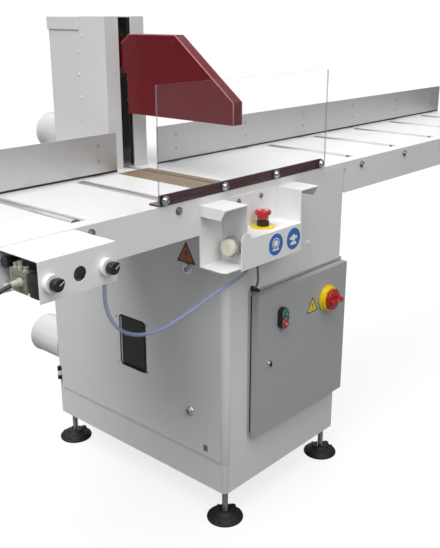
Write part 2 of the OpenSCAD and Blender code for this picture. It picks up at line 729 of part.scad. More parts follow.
module control_tray() color("white") {
    t = tray_t;
    difference() {
        union() {
            box([tray_x0, front - t, tray_z0], [tray_x1, front, tray_z1]);
            box([tray_x0, tray_y0, tray_z1 - t], [tray_wall_l + t, front, tray_z1]);
            box([tray_wall_r, tray_y0, tray_z1 - t], [tray_x1, front, tray_z1]);
            tray_lip(tray_x0);
            tray_lip(tray_x1 - t);
            box([tray_wall_l, tray_y0, tray_z0], [tray_wall_l + t, front - 1, tray_z1 - 1]);
            box([tray_wall_r, tray_y0, tray_z0 - 5], [tray_wall_r + t, front - 1, tray_z1 - 1]);
            translate([0, 0, tray_z0]) linear_extrude(t)
                front_round(tray_x0, tray_y0, tray_wall_l + t, front, 14);
            box([tray_wall_l, tray_y0, tray_shelf - t], [tray_wall_r + 1, front - 1, tray_shelf]);
            // Front plate, with its upper left corner rounded
            xz_plate(tray_y0 - t, tray_y0) {
                translate([tray_wall_l - 21, tray_z0 - 5]) square([tray_wall_r + t - tray_wall_l + 21, tray_shelf - tray_z0 + 5]);
                translate([tray_wall_l - 5, tray_shelf - 1]) square([5 + t, 17]);
                translate([tray_wall_l - 5, tray_shelf]) circle(16);
            }
            palm_collar(tray_wall_l - 12, tray_wall_l + 1);
            palm_collar(tray_wall_r + t - 1, tray_wall_r + t + 12);
            // Glands for the air tube and the cable
            zcyl(AIR_TO[0], AIR_TO[1], AIR_TO[2] + 0.5, tray_shelf - 1, 8);
            zcyl(CABLE_FROM[0], CABLE_FROM[1], CABLE_FROM[2] + 0.4, tray_shelf - 1, 7);
        }
        zcyl(estop_x, estop_y, tray_shelf - t - 1, tray_shelf + 1, 11);
    }
}

module estop_base() color("gold") difference() {
    union() {
        zcyl(estop_x, estop_y, tray_shelf, tray_shelf + 3, 30);
        zcyl(estop_x, estop_y, tray_shelf + 3, tray_shelf + 15, 15);
        zcyl(estop_x, estop_y, tray_shelf - 22, tray_shelf + 1, 10.8);
    }
    zcyl(estop_x, estop_y, tray_shelf - 10, tray_shelf + 16, 8 + fit);
}

module estop_button() color("red") {
    zcyl(estop_x, estop_y, tray_shelf - 4, tray_shelf + 24, 8);
    translate([estop_x, estop_y, tray_shelf + 20]) rotate_extrude() polygon([[0, 0], [12, 0], [14, 16],
        [estop_d / 2, 19], [estop_d / 2, 24], [estop_d / 2 - 3, 27], [8, 29], [0, 29]]);
}

module palm_button(x0, x1) color("ivory") xcyl(x0, x1, palm_y, palm_z, palm_d / 2);

// ---- Valve cover ----

module valve_cover() color("white") difference() {
    union() {
        box([valve_x0, valve_y0, valve_z1 - 2], [valve_x1, front, valve_z1]);
        box([valve_x0, valve_y0, valve_z0], [valve_x1, valve_y0 + 2, valve_z1 - 1]);
        box([valve_x1 - 2, valve_y0, valve_z0], [valve_x1, front, valve_z1 - 1]);
        box([valve_x0, front - 2, valve_z1 - 30], [valve_x1, front, valve_z1 - 1]);
        for (x = knob_x) ycyl(x, valve_y0 - 12, valve_y0 + 1, knob_z, 17);
    }
    for (x = knob_x) ycyl(x, valve_y0 - 13, valve_y0 + 3, knob_z, 6 + fit);
    ycyl((knob_x[0] + knob_x[1]) / 2 + 4, valve_y0 - 1, valve_y0 + 3, knob_z, 14);
}

module valve_block() color("gray") {
    z = valve_z0 + 5;
    box([valve_x0 + 5, valve_y0 + 14, z], [valve_x1 - 3, front, z + 4]);
    box([valve_x0 + 30, valve_y0 + 40, z + 3], [valve_x1 - 45, valve_y0 + 95, z + 34]);
    for (i = [0 : 2]) box([valve_x0 + 34 + 32 * i, valve_y0 + 46, z + 33], [valve_x0 + 58 + 32 * i, valve_y0 + 88, z + 56]);
    zcyl(valve_x0 + 17, valve_y0 + 92, z + 3, z + 44, 11);
    box([valve_x0 + 5, valve_y0 + 45, z + 3], [valve_x0 + 26, valve_y0 + 75, z + 34]);
}

module knob(x) color("black") {
    ycyl(x, valve_y0 - 34, valve_y0 - 12.5, knob_z, 13);
    ycyl(x, valve_y0 - 14, valve_y0 + 15, knob_z, 6);
    translate([x, valve_y0 - 34, knob_z]) rotate([0, 35, 0]) box([0, 0, -5], [19, 12, 5]);
}

// ---- Saw ----

module arm_outline() {
    translate([spindle_y, spindle_z]) circle(arm_half + 1);
    translate([pivot_y, pivot_z]) circle(arm_half + 10);
    translate([pivot_y, pivot_z]) rotate(180 + arm_tilt)
        translate([0, -arm_half]) square([norm([arm_reach, arm_drop]), 2 * arm_half]);
}

module saw_arm() color("steelblue") {
    difference() {
        union() {
            yz_plate(arm_x0, arm_x1) arm_outline();
            xcyl(arm_x0, tube_x1, pivot_y, pivot_z, 32);
            xcyl(arm_x0 - 30, tube_x1 + 30, pivot_y, pivot_z, 15);
            // Plate that the motor's feet are bolted to
            translate([0, pivot_y, pivot_z]) rotate([atan2(motor_dy, -motor_dz), 0, 0])
                box([motor_x0 + 20, -75, -50], [motor_x0 + 190, 75, -28]);
        }
        xcyl(arm_x0 - 1, arm_x1 + 1, spindle_y, spindle_z, spindle_r + fit);
    }
}

module blade_outline() {
    root = blade_r - 9;
    polygon([for (i = [0 : teeth - 1], k = [0 : 2]) let (a = 360 * (i + [0, 0.25, 0.32][k]) / teeth,
        r = [root, root + 3, blade_r][k]) [r * cos(a), r * sin(a)]]);
}

module saw_blade() color("silver") {
    difference() {
        translate([blade_x - blade_t / 2, spindle_y, spindle_z]) rotate([90, 0, 90])
            linear_extrude(blade_t) blade_outline();
        xcyl(blade_x - blade_t, blade_x + blade_t, spindle_y, spindle_z, spindle_r + fit);
    }
    xcyl(blade_x - 13, belt_x0 + belt_w + 5, spindle_y, spindle_z, spindle_r);
    xcyl(blade_x - blade_t / 2 - 7, blade_x - blade_t / 2, spindle_y, spindle_z, arm_half);
    xcyl(blade_x + blade_t / 2, blade_x + blade_t / 2 + 7, spindle_y, spindle_z, arm_half);
    translate([blade_x - 21, spindle_y, spindle_z]) rotate([0, 90, 0]) cylinder(h = 13, r = 18, $fn = 6);
    xcyl(belt_x0 - 3, belt_x0 + belt_w + 3, spindle_y, spindle_z, pulley_r);
}

module motor() color("dimgray") difference() {
    union() {
        xcyl(motor_x0 + 22, motor_x0 + 200, motor_y, motor_z, motor_r);
        xcyl(motor_x0 + 200, motor_x0 + 222, motor_y, motor_z, motor_r - 6);
        xcyl(motor_x0, motor_x0 + 23, motor_y, motor_z, motor_r - 10);
        translate([0, motor_y, motor_z]) rotate([atan2(motor_dy, -motor_dz), 0, 0])
            for (s = [-1, 1]) box([motor_x0 + 30, s * 55 - 15, motor_r - 40], [motor_x0 + 180, s * 55 + 15, motor_dist - 50]);
    }
    xcyl(motor_x0 - 1, motor_x0 + 30, motor_y, motor_z, 14 + fit);
}

module motor_pulley() color("silver") {
    xcyl(belt_x0 - 3, motor_x0 + 28, motor_y, motor_z, 14);
    xcyl(belt_x0 - 3, belt_x0 + belt_w + 3, motor_y, motor_z, pulley_r);
}

module belt_outline(r) {
    turn = atan2(motor_z - spindle_z, motor_y - spindle_y);
    polygon([for (end = [0, 1], k = [0 : 32]) let (a = turn - 90 + 180 * (1 - end) + k * 180 / 32)
        [(end == 0 ? spindle_y : motor_y) + r * cos(a), (end == 0 ? spindle_z : motor_z) + r * sin(a)]]);
}

module drive_belt() color("black") difference() {
    yz_plate(belt_x0, belt_x0 + belt_w) belt_outline(pulley_r + 7);
    yz_plate(belt_x0 - 1, belt_x0 + belt_w + 1) belt_outline(pulley_r + 0.3);
}

module lift_cylinder() color("silver") difference() {
    union() {
        zcyl(lift_x, lift_y, lift_bottom, lift_top, lift_body_r);
        for (z = [lift_bottom, lift_top - 20])
            box([lift_x - 26, lift_y - 26, z], [lift_x + 26, lift_y + 26, z + 20]);
    }
    zcyl(lift_x, lift_y, lift_bottom + 15, lift_top + 1, lift_rod_r + fit);
}

module lift_rod() color("silver") {
    zcyl(lift_x, lift_y, lift_bottom + 30, lift_z - 30, lift_rod_r);
    box([lift_x - 26, lift_y - 14, lift_z - 36], [lift_x + 26, lift_y + 14, lift_z - 21]);
    for (s = [-1, 1]) box([lift_x + s * 24 - 2, lift_y - 12, lift_z - 22], [lift_x + s * 24 + 2, lift_y + 12, lift_z + 8]);
    xcyl(lift_x - 25, lift_x + 25, lift_y, lift_z, 6);
    xcyl(lift_x - 21.5, lift_x + 21.5, lift_y, lift_z, lift_roller_r);
}

// ---- Dust ports ----

module port(x, y, z, d, length) difference() {
    union() {
        ycyl(x, y, y + length, z, d / 2);
        ycyl(x, y, y + 6, z, d / 2 + 6);
    }
    ycyl(x, y - 1, y + length + 1, z, d / 2 - port_wall);
}

module dust_ports() color("white") {
    port(low_port_x, back, low_port_z, low_port_d, low_port_l);
    port(high_port_x, col_y1, high_port_z, high_port_d, 118);
}

// ---- Free tube and cables ----

module air_tube() color("cornflowerblue") sweep(smooth(AIR_ROUTE, 2), AIR_D);
module button_cable() color("dimgray") sweep(smooth(CABLE_ROUTE, 2), CABLE_D);
module supply_lead() color("black") sweep(smooth(LEAD_ROUTE, 2), LEAD_D);

cabinet();
side_door();
door_window();
door_hinges();
door_lock(lock_z[1]);  // door_lock_upper
door_lock(lock_z[0]);  // door_lock_lower
enclosure_box();
enclosure_door();
enclosure_lock();
button_bezel();
push_button(1, "green");  // start_button
push_button(-1, "crimson");  // stop_button
switch_base();
switch_knob();
foot(foot_x[0], foot_y[0]);  // foot_1
foot(foot_x[1], foot_y[0]);  // foot_2
foot(foot_x[0], foot_y[1]);  // foot_3
foot(foot_x[1], foot_y[1]);  // foot_4
centre_table();
throat_inserts();
roller_table(infeed_end, centre_left, in_rollers);  // infeed_table
roller_table(right, outfeed_end, out_rollers);  // outfeed_table
infeed_fence();
outfeed_fence();
roller(0);  // roller_1
roller(1);  // roller_2
roller(2);  // roller_3
roller(3);  // roller_4
roller(4);  // roller_5
roller(5);  // roller_6
roller(6);  // roller_7
roller(7);  // roller_8
bolts_and_axles();
column();
column_cap();
guard();
guard_rail();
guard_cylinder();
shield();
shield_bracket();
control_tray();
estop_base();
estop_button();
palm_button(tray_wall_l - 30, tray_wall_l - 5);  // palm_button_left
palm_button(tray_wall_r + tray_t + 5, tray_wall_r + tray_t + 30);  // palm_button_right
valve_cover();
valve_block();
knob(knob_x[0]);  // knob_left
knob(knob_x[1]);  // knob_right
saw_arm();
saw_blade();
motor();
motor_pulley();
drive_belt();
lift_cylinder();
lift_rod();
dust_ports();
air_tube();
button_cable();
supply_lead();
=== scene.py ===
import logging
import math
from dataclasses import dataclass, field
from enum import Enum
from typing import Callable, Iterable, Sequence

import bmesh
import bpy
from mathutils import Matrix, Vector


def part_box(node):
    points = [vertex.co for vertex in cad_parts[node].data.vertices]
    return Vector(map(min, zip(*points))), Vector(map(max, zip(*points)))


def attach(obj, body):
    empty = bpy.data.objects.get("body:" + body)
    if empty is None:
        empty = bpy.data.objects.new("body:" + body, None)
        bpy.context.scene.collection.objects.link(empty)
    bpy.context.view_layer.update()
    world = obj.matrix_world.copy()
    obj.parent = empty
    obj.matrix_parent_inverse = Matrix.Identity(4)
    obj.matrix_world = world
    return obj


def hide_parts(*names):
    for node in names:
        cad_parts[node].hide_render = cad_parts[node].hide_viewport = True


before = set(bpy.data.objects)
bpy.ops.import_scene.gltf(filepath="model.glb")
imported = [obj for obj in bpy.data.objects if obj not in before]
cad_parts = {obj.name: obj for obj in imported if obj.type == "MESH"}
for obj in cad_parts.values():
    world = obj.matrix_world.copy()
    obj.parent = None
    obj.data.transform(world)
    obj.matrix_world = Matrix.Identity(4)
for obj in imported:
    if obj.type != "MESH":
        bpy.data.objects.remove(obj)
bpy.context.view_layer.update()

log = logging.getLogger("crosscut_saw")

Pair = tuple[float, float]
Triple = tuple[float, float, float]
Pairs = tuple[Pair, ...]
Outline = list[Pair]
Colour = Triple

CABINET_X = -234.0   # middle of the cabinet from the middle of the machine, in millimetres
CABINET_Y = 4.5
FRONT, BACK = -350.0, 350.0   # the cabinet's front and back
TABLE = 920.0                 # height of the tables
SHARP = math.radians(32)      # edges that turn more than this look sharp


def at(x: float, y: float, z: float) -> Vector:
    """Turn millimetres measured from the cabinet's middle into a point of the machine.

    Args:
        x: Distance along the tables, towards the outfeed end.
        y: Distance to the back.
        z: Height above the floor.

    Returns:
        The point in metres, in the frame's own axes.
    """
    return Vector(((x + CABINET_X) / 1000, (y + CABINET_Y) / 1000, z / 1000))


class Facing(Enum):
    """The way a fitted part looks; its outlines are drawn as seen from there."""

    FRONT = ((1, 0, 0), (0, 0, 1), (0, -1, 0))
    BACK = ((-1, 0, 0), (0, 0, 1), (0, 1, 0))
    LEFT = ((0, -1, 0), (0, 0, 1), (-1, 0, 0))
    RIGHT = ((0, 1, 0), (0, 0, 1), (1, 0, 0))
    UP = ((1, 0, 0), (0, 1, 0), (0, 0, 1))
    DOWN = ((1, 0, 0), (0, -1, 0), (0, 0, -1))

    def turn(self) -> Matrix:
        """The rotation that carries a drawing's own axes to the machine's."""
        return Matrix(self.value).transposed()


# --- shader nodes


class Wire:
    """A value that runs between shader nodes and takes part in ordinary arithmetic."""

    def __init__(self, shop: "NodeShop", socket: bpy.types.NodeSocket) -> None:
        """Hold one output socket of the material that is being made."""
        self.shop = shop
        self.socket = socket

    def _math(self, operation: str, first: "Wire | float", second: "Wire | float") -> "Wire":
        """Add one Math node and return what comes out of it."""
        return self.shop.make("ShaderNodeMath", {"operation": operation}, {0: first, 1: second})

    def __add__(self, other: "Wire | float") -> "Wire":
        """Sum of the two values."""
        return self._math("ADD", self, other)

    __radd__ = __add__

    def __sub__(self, other: "Wire | float") -> "Wire":
        """This value less the other."""
        return self._math("SUBTRACT", self, other)

    def __rsub__(self, other: float) -> "Wire":
        """The other value less this one."""
        return self._math("SUBTRACT", other, self)

    def __mul__(self, other: "Wire | float") -> "Wire":
        """Product of the two values."""
        return self._math("MULTIPLY", self, other)

    __rmul__ = __mul__

    def above(self, limit: float, softness: float) -> "Wire":
        """Rise from 0 to 1 where this value passes a limit.

        Args:
            limit: The value at which the rise starts.
            softness: How far past the limit it reaches 1.

        Returns:
            A mask from 0 to 1.
        """
        return self.shop.make("ShaderNodeMapRange", {"clamp": True},
                              {0: self, 1: limit, 2: limit + softness, 3: 0.0, 4: 1.0})


class NodeShop:
    """Builds one material out of shader nodes."""

    def __init__(self, name: str, room: bool = False) -> None:
        """Start a material with its shader and the point being shaded.

        Args:
            name: The material's name.
            room: Whether it is the room's own light instead.
        """
        self.material = (bpy.data.worlds if room else bpy.data.materials).new(name)
        self.material.use_nodes = True
        self.tree = self.material.node_tree
        self.surface = next(n for n in self.tree.nodes if n.type in ("BSDF_PRINCIPLED", "BACKGROUND"))
        self.point = self.make("ShaderNodeTexCoord", output="Generated" if room else "Object")

    def make(self, kind: str, settings: dict | None = None, inputs: dict | None = None,
             output: int | str = 0) -> Wire:
        """Add one node.

        Args:
            kind: The node's type.
            settings: Its properties, set before its sockets; "stops" fills a colour ramp.
            inputs: Values or wires for its input sockets, by name or number.
            output: The output socket to return.

        Returns:
            The wire from that output.
        """
        node = self.tree.nodes.new(kind)
        for key, value in (settings or {}).items():
            if key == "stops":
                ramp = node.color_ramp.elements
                while len(ramp) < len(value):
                    ramp.new(0.5)
                for stop, (place, colour) in zip(ramp, value):
                    stop.position = place
                    stop.color = (*colour, 1)
            else:
                setattr(node, key, value)
        for key, value in (inputs or {}).items():
            self.feed(node.inputs[key], value)
        return Wire(self, node.outputs[output])

    def feed(self, socket: bpy.types.NodeSocket, value: "Wire | float | Sequence[float]") -> None:
        """Link a wire to a socket, or set the socket's own value.

        Args:
            socket: The input socket.
            value: The wire or the value.
        """
        if isinstance(value, Wire):
            self.tree.links.new(value.socket, socket)
        else:
            socket.default_value = value

    def set(self, **values: "Wire | float | Sequence[float]") -> None:
        """Feed the surface shader's sockets, named with underscores for spaces."""
        for key, value in values.items():
            self.feed(self.surface.inputs[key.replace("_", " ")], value)

    def mix(self, factor: "Wire | float", first: "Wire | Colour", second: "Wire | Colour") -> Wire:
        """Blend two colours.

        Args:
            factor: Share of the second colour.
            first: The colour where the factor is 0.
            second: The colour where the factor is 1.

        Returns:
            The blended colour.
        """
        ends = [c if isinstance(c, Wire) else (*c, 1.0) for c in (first, second)]
        return self.make("ShaderNodeMix", {"data_type": "RGBA"},
                         {0: factor, 6: ends[0], 7: ends[1]}, output=2)

    def stretched(self, scale: Sequence[float]) -> Wire:
        """The shaded point with each axis multiplied, for streaks."""
        return self.make("ShaderNodeVectorMath", {"operation": "MULTIPLY"},
                         {0: self.point, 1: tuple(scale)})

    def noise(self, size: float, detail: float = 2.0, rough: float = 0.5,
              stretch: Sequence[float] | None = None) -> Wire:
        """Soft noise.

        Args:
            size: Size of its patches in metres.
            detail: Number of finer layers.
            rough: Strength of the finer layers.
            stretch: Multipliers for the three axes; a small one draws streaks along its axis.

        Returns:
            A value around one half.
        """
        point = self.stretched(stretch) if stretch else self.point
        return self.make("ShaderNodeTexNoise", None,
                         {"Vector": point, "Scale": 1 / size, "Detail": detail, "Roughness": rough})

    def height(self) -> Wire:
        """Height of the shaded point above the floor, in metres."""
        return self.make("ShaderNodeSeparateXYZ", None, {0: self.point}, output=2)

    def bump(self, relief: Wire, depth: float, strength: float = 1.0) -> None:
        """Raise the surface by a relief of the given depth in metres."""
        normal = self.make("ShaderNodeBump", None,
                           {"Strength": strength, "Distance": depth, "Height": relief})
        self.set(Normal=normal)


# --- finishes


@dataclass(frozen=True)
class Finish:
    """What every finish has: a name, a main colour and a way to paint its material."""

    name: str
    colour: Colour

    def shade(self, *shares: float, lift: float = 0.0) -> Colour:
        """The colour with its channels multiplied, by one share or by three, and then lifted."""
        each = shares if len(shares) == 3 else shares * 3
        return tuple(min(1.0, channel * share + lift) for channel, share in zip(self.colour, each))

    def make(self) -> bpy.types.Material:
        """Build the material."""
        shop = NodeShop(self.name)
        self.paint(shop)
        return shop.material

    def paint(self, shop: NodeShop) -> None:
        """Feed the shader; each kind of finish does it in its own way.

        Args:
            shop: Where the material is made.
        """
        raise NotImplementedError


@dataclass(frozen=True)
class PowderCoat(Finish):
    """Baked powder paint on sheet metal: fine orange peel, faint handling marks."""

    rough: float = 0.42
    peel: float = 0.00005
    grime: float = 0.35
    coat: float = 0.0
    shine: float = 0.45

    def paint(self, shop: NodeShop) -> None:
        """Cloudy paint with dust that gathers low down.

        Args:
            shop: Where the material is made.
        """
        cloud = shop.noise(0.22, 3)
        smear = shop.noise(0.05, 4, 0.6, (1, 1, 0.35)).above(0.56, 0.2)
        low = 1 - shop.height().above(0.02, 0.5)
        dirt = smear * self.grime * (0.22 + 0.5 * low)
        paint = shop.mix(cloud, self.shade(0.93), self.colour)
        shop.set(Base_Color=shop.mix(dirt, paint, self.shade(0.80, 0.78, 0.74)),
                 Roughness=self.rough + 0.10 * (cloud - 0.5) + 0.12 * dirt,
                 Coat_Weight=self.coat, Coat_Roughness=0.12, Specular_IOR_Level=self.shine)
        shop.bump(shop.noise(0.0016, 2) + 0.6 * shop.noise(0.006, 1), self.peel, 0.5)


@dataclass(frozen=True)
class WornTable(Finish):
    """Painted table top that timber slides along: streaks and rubbed places."""

    def paint(self, shop: NodeShop) -> None:
        """Cloudy paint, rubbed along the tables where it faces up.

        Args:
            shop: Where the material is made.
        """
        cloud = shop.noise(0.3, 3)
        streak = shop.noise(0.004, 3, 0.6, (0.035, 1, 1))
        rubbed = shop.noise(0.09, 4, 0.65, (0.3, 1, 1)).above(0.53, 0.16)
        up = shop.make("ShaderNodeSeparateXYZ", None,
                       {0: shop.make("ShaderNodeNewGeometry", output="Normal")}, output=2).above(0.7, 0.2)
        scuffed = rubbed * streak.above(0.45, 0.25) * up
        paint = shop.mix(cloud, self.shade(0.94), self.colour)
        shop.set(Base_Color=shop.mix(scuffed * 0.55, paint, self.shade(0.74, 0.74, 0.75)),
                 Roughness=0.40 - 0.10 * scuffed + 0.08 * (cloud - 0.5), Metallic=scuffed * 0.15)
        shop.bump(shop.noise(0.0018, 2) + 0.5 * streak * up, 0.00006, 0.5)


@dataclass(frozen=True)
class BareMetal(Finish):
    """Uncoated metal with fine lines from rolling, turning or grinding."""

    rough: float = 0.32
    lines: Triple = (1, 0.03, 1)
    spots: float = 0.3

    def paint(self, shop: NodeShop) -> None:
        """Fine lines under a few dull stains.

        Args:
            shop: Where the material is made.
        """
        line = shop.noise(0.0012, 3, 0.7, self.lines)
        stain = shop.noise(0.035, 4, 0.6).above(0.55, 0.2) * self.spots
        bright = shop.mix(line, self.shade(0.88), self.colour)
        shop.set(Base_Color=shop.mix(stain, bright, self.shade(0.62)), Metallic=1.0,
                 Roughness=self.rough + 0.16 * (line - 0.5) + 0.22 * stain)
        shop.bump(line, 0.00003, 0.6)


@dataclass(frozen=True)
class Moulding(Finish):
    """Moulded plastic or rubber with a fine grain and scuffed high spots."""

    rough: float = 0.45
    grain: float = 0.0009
    depth: float = 0.00004
    coat: float = 0.0
    scuff: float = 0.25

    def paint(self, shop: NodeShop) -> None:
        """Grain all over, paler and duller where it is worn.

        Args:
            shop: Where the material is made.
        """
        grain = shop.noise(self.grain, 2)
        worn = shop.noise(0.018, 3, 0.6).above(0.55, 0.2) * self.scuff
        shop.set(Base_Color=shop.mix(worn, self.colour, self.shade(1.12, lift=0.025)),
                 Roughness=self.rough + 0.10 * (grain - 0.5) + 0.12 * worn,
                 Coat_Weight=self.coat, Coat_Roughness=0.08)
        shop.bump(grain, self.depth, 0.6)


@dataclass(frozen=True)
class FibreBoard(Finish):
    """Pressed board of the throat inserts, with cut fibres and saw marks."""

    def paint(self, shop: NodeShop) -> None:
        """Long fibres over a cloudy ground.

        Args:
            shop: Where the material is made.
        """
        fibre = shop.noise(0.0014, 4, 0.7, (0.25, 1, 1))
        cloud = shop.noise(0.03, 4, 0.6, (1, 0.4, 1))
        stops = [(0.25, self.shade(0.6)), (0.55, self.colour), (0.8, self.shade(1.35))]
        tone = shop.make("ShaderNodeValToRGB", {"stops": stops}, {0: 0.6 * fibre + 0.45 * cloud})
        shop.set(Base_Color=tone, Roughness=0.62 + 0.2 * (fibre - 0.5))
        shop.bump(fibre, 0.00015, 0.6)


@dataclass(frozen=True)
class ClearSheet(Finish):
    """Transparent plastic: a cover of 0 is unseen and a cover of 1 is solid."""

    cover: float = 0.5
    rough: float = 0.05

    def paint(self, shop: NodeShop) -> None:
        """Uneven haze with fine scratches.

        Args:
            shop: Where the material is made.
        """
        haze = shop.noise(0.16, 4, 0.6)
        scratch = shop.noise(0.003, 3, 0.7, (0.08, 1, 1)).above(0.66, 0.1)
        shop.set(Base_Color=shop.mix(scratch * 0.4, self.colour, (1.0, 1.0, 1.0)),
                 Alpha=self.cover * (0.75 + 0.5 * haze) + 0.02 * scratch,
                 Roughness=self.rough + 0.1 * scratch, IOR=1.58, Specular_IOR_Level=0.6)


@dataclass(frozen=True)
class Printed(Finish):
    """Printed foil of a sticker, with a satin face and slight fading."""

    def paint(self, shop: NodeShop) -> None:
        """Ink that has faded in patches.

        Args:
            shop: Where the material is made.
        """
        fade = shop.noise(0.02, 3)
        shop.set(Base_Color=shop.mix(fade * 0.5, self.colour, self.shade(0.9, lift=0.05)),
                 Roughness=0.36 + 0.1 * fade)
        shop.bump(shop.noise(0.0025, 2), 0.00002, 0.5)


WHITE_COAT = PowderCoat("white_coat", (0.745, 0.745, 0.74))
DOOR_COAT = PowderCoat("door_coat", (0.735, 0.74, 0.74), grime=0.3)
TRAY_COAT = PowderCoat("tray_coat", (0.80, 0.80, 0.80), 0.40, grime=0.2)
GREY_COAT = PowderCoat("grey_coat", (0.40, 0.405, 0.415), 0.38, grime=0.2)
RIM_COAT = PowderCoat("rim_coat", (0.46, 0.465, 0.475), 0.4, grime=0.2)
BURGUNDY = PowderCoat("burgundy_paint", (0.135, 0.006, 0.010), 0.34, 0.00004, 0.12, 0.1, 0.3)
TABLE_COAT = WornTable("table_coat", (0.775, 0.775, 0.77))
FENCE_METAL = BareMetal("fence_metal", (0.80, 0.80, 0.80), 0.46, (0.02, 1, 1), 0.2)
ROLLER_STEEL = BareMetal("roller_steel", (0.66, 0.665, 0.66), 0.38, (1, 0.03, 1), 0.4)
BOLT_STEEL = BareMetal("bolt_steel", (0.30, 0.30, 0.31), 0.36, (1, 1, 1), 0.3)
BRIGHT_STEEL = BareMetal("bright_steel", (0.66, 0.66, 0.68), 0.24, (1, 1, 0.05), 0.2)
BLADE_STEEL = BareMetal("blade_steel", (0.62, 0.63, 0.65), 0.22, (1, 0.2, 0.2), 0.25)
CHROME = BareMetal("lock_chrome", (0.80, 0.80, 0.82), 0.14, (1, 1, 1), 0.1)
ALUMINIUM = BareMetal("aluminium", (0.60, 0.61, 0.62), 0.38, (1, 1, 0.04), 0.2)
BRASS = BareMetal("fitting_brass", (0.66, 0.47, 0.18), 0.28, (1, 1, 1), 0.25)
BLACK_PLASTIC = Moulding("black_plastic", (0.012, 0.012, 0.013), 0.40)
DARK_PANE = Moulding("smoked_pane", (0.010, 0.010, 0.012), 0.34, coat=0.1, scuff=0.08)
FOOT_RUBBER = Moulding("foot_rubber", (0.005, 0.005, 0.005), 0.62, 0.0012, 0.00008)
SEAL_RUBBER = Moulding("seal_rubber", (0.010, 0.010, 0.010), 0.7, 0.001, 0.00006)
CABLE_RUBBER = Moulding("cable_rubber", (0.030, 0.031, 0.034), 0.5)
BELT_RUBBER = Moulding("belt_rubber", (0.014, 0.014, 0.014), 0.65, 0.0016, 0.0001)
RED_PLASTIC = Moulding("red_plastic", (0.42, 0.007, 0.009), 0.30, coat=0.3, scuff=0.12)
GREEN_PLASTIC = Moulding("green_plastic", (0.006, 0.15, 0.055), 0.34, coat=0.2)
YELLOW_PLASTIC = Moulding("yellow_plastic", (0.84, 0.61, 0.006), 0.34, coat=0.2, scuff=0.1)
CREAM_PLASTIC = Moulding("cream_plastic", (0.76, 0.73, 0.60), 0.34, coat=0.3, scuff=0.15)
BLUE_TUBE = ClearSheet("blue_tube", (0.30, 0.35, 0.54), 0.52, 0.18)
# Pale burgundy of the beads on the guard's folds: a painted highlight along the folded edges.
BURGUNDY_HIGHLIGHT = PowderCoat("burgundy_painted_highlight", (0.42, 0.13, 0.13), 0.28, 0.00003, 0.1, 0.4)
BURGUNDY_DARK = PowderCoat("burgundy_dark", (0.060, 0.008, 0.013), 0.30, 0.00004, 0.1, 0.2)
GREY_CABLE = Moulding("grey_cable", (0.16, 0.165, 0.175), 0.5)
VALVE_BODY = Moulding("valve_body", (0.20, 0.195, 0.145), 0.45)
PALE_PLASTIC = Moulding("pale_plastic", (0.46, 0.47, 0.39), 0.38)
COLLAR_PLASTIC = Moulding("collar_plastic", (0.36, 0.36, 0.35), 0.4)
MOTOR_PAINT = PowderCoat("motor_paint", (0.10, 0.115, 0.13), 0.45, 0.00008)
ARM_PAINT = PowderCoat("arm_paint", (0.11, 0.19, 0.30), 0.42, 0.0001)
THROAT_BOARD = FibreBoard("throat_board", (0.22, 0.155, 0.095))
CLEAR = ClearSheet("clear_sheet", (0.50, 0.56, 0.58), 0.035)
CLEAR_EDGE = ClearSheet("clear_sheet_edge", (0.20, 0.23, 0.25), 0.60, 0.12)
PRINT_BLACK = Printed("print_black", (0.02, 0.02, 0.02))
PRINT_WHITE = Printed("print_white", (0.85, 0.85, 0.85))
PRINT_YELLOW = Printed("print_yellow", (0.78, 0.64, 0.02))
PRINT_ORANGE = Printed("print_orange", (0.40, 0.115, 0.035))
PRINT_BLUE = Printed("print_blue", (0.012, 0.14, 0.44))
PRINT_GREY = Printed("print_grey", (0.16, 0.16, 0.17))
SEAM = Printed("panel_seam", (0.20, 0.20, 0.21))


class Paintshop:
    """Keeps one material for each finish."""

    made: dict[str, bpy.types.Material] = {}

    @classmethod
    def get(cls, finish: Finish) -> bpy.types.Material:
        """Look up a finish's material, and build it the first time.

        Args:
            finish: The finish.

        Returns:
            Its one material.
        """
        if finish.name not in cls.made:
            cls.made[finish.name] = finish.make()
        return cls.made[finish.name]


# --- outlines and solids


def circle(radius: float, count: int = 48, x: float = 0.0, y: float = 0.0) -> Outline:
    """Points round a circle, anticlockwise."""
    return [(x + radius * math.cos(math.tau * k / count), y + radius * math.sin(math.tau * k / count))
            for k in range(count)]


def rounded(width: float, height: float, radius: float, steps: int = 6) -> Outline:
    """Outline of a rectangle about its middle, with rounded corners.

    Args:
        width: Overall width.
        height: Overall height.
        radius: Radius of the corners.
        steps: Number of facets in each corner.

    Returns:
        The points, anticlockwise.
    """
    points = []
    for corner, (sx, sy) in enumerate(((1, 1), (-1, 1), (-1, -1), (1, -1))):
        cx, cy = sx * (width / 2 - radius), sy * (height / 2 - radius)
        for k in range(steps + 1):
            angle = math.pi / 2 * (corner + k / steps)
            points.append((cx + radius * math.cos(angle), cy + radius * math.sin(angle)))
    return points


def softened(corners: Outline, radius: float, steps: int = 5) -> Outline:
    """Round each corner of an outline with a short curve.

    Args:
        corners: The sharp outline, anticlockwise.
        radius: How far from its corner each curve starts.
        steps: Number of facets in each corner.

    Returns:
        The rounded outline.
    """
    points = []
    count = len(corners)
    for i, here in enumerate(corners):
        corner = Vector(here)
        before, after = Vector(corners[i - 1]), Vector(corners[(i + 1) % count])
        start = corner + (before - corner).normalized() * radius
        end = corner + (after - corner).normalized() * radius
        for k in range(steps + 1):
            t = k / steps
            points.append(tuple((1 - t) ** 2 * start + 2 * t * (1 - t) * corner + t * t * end))
    return points


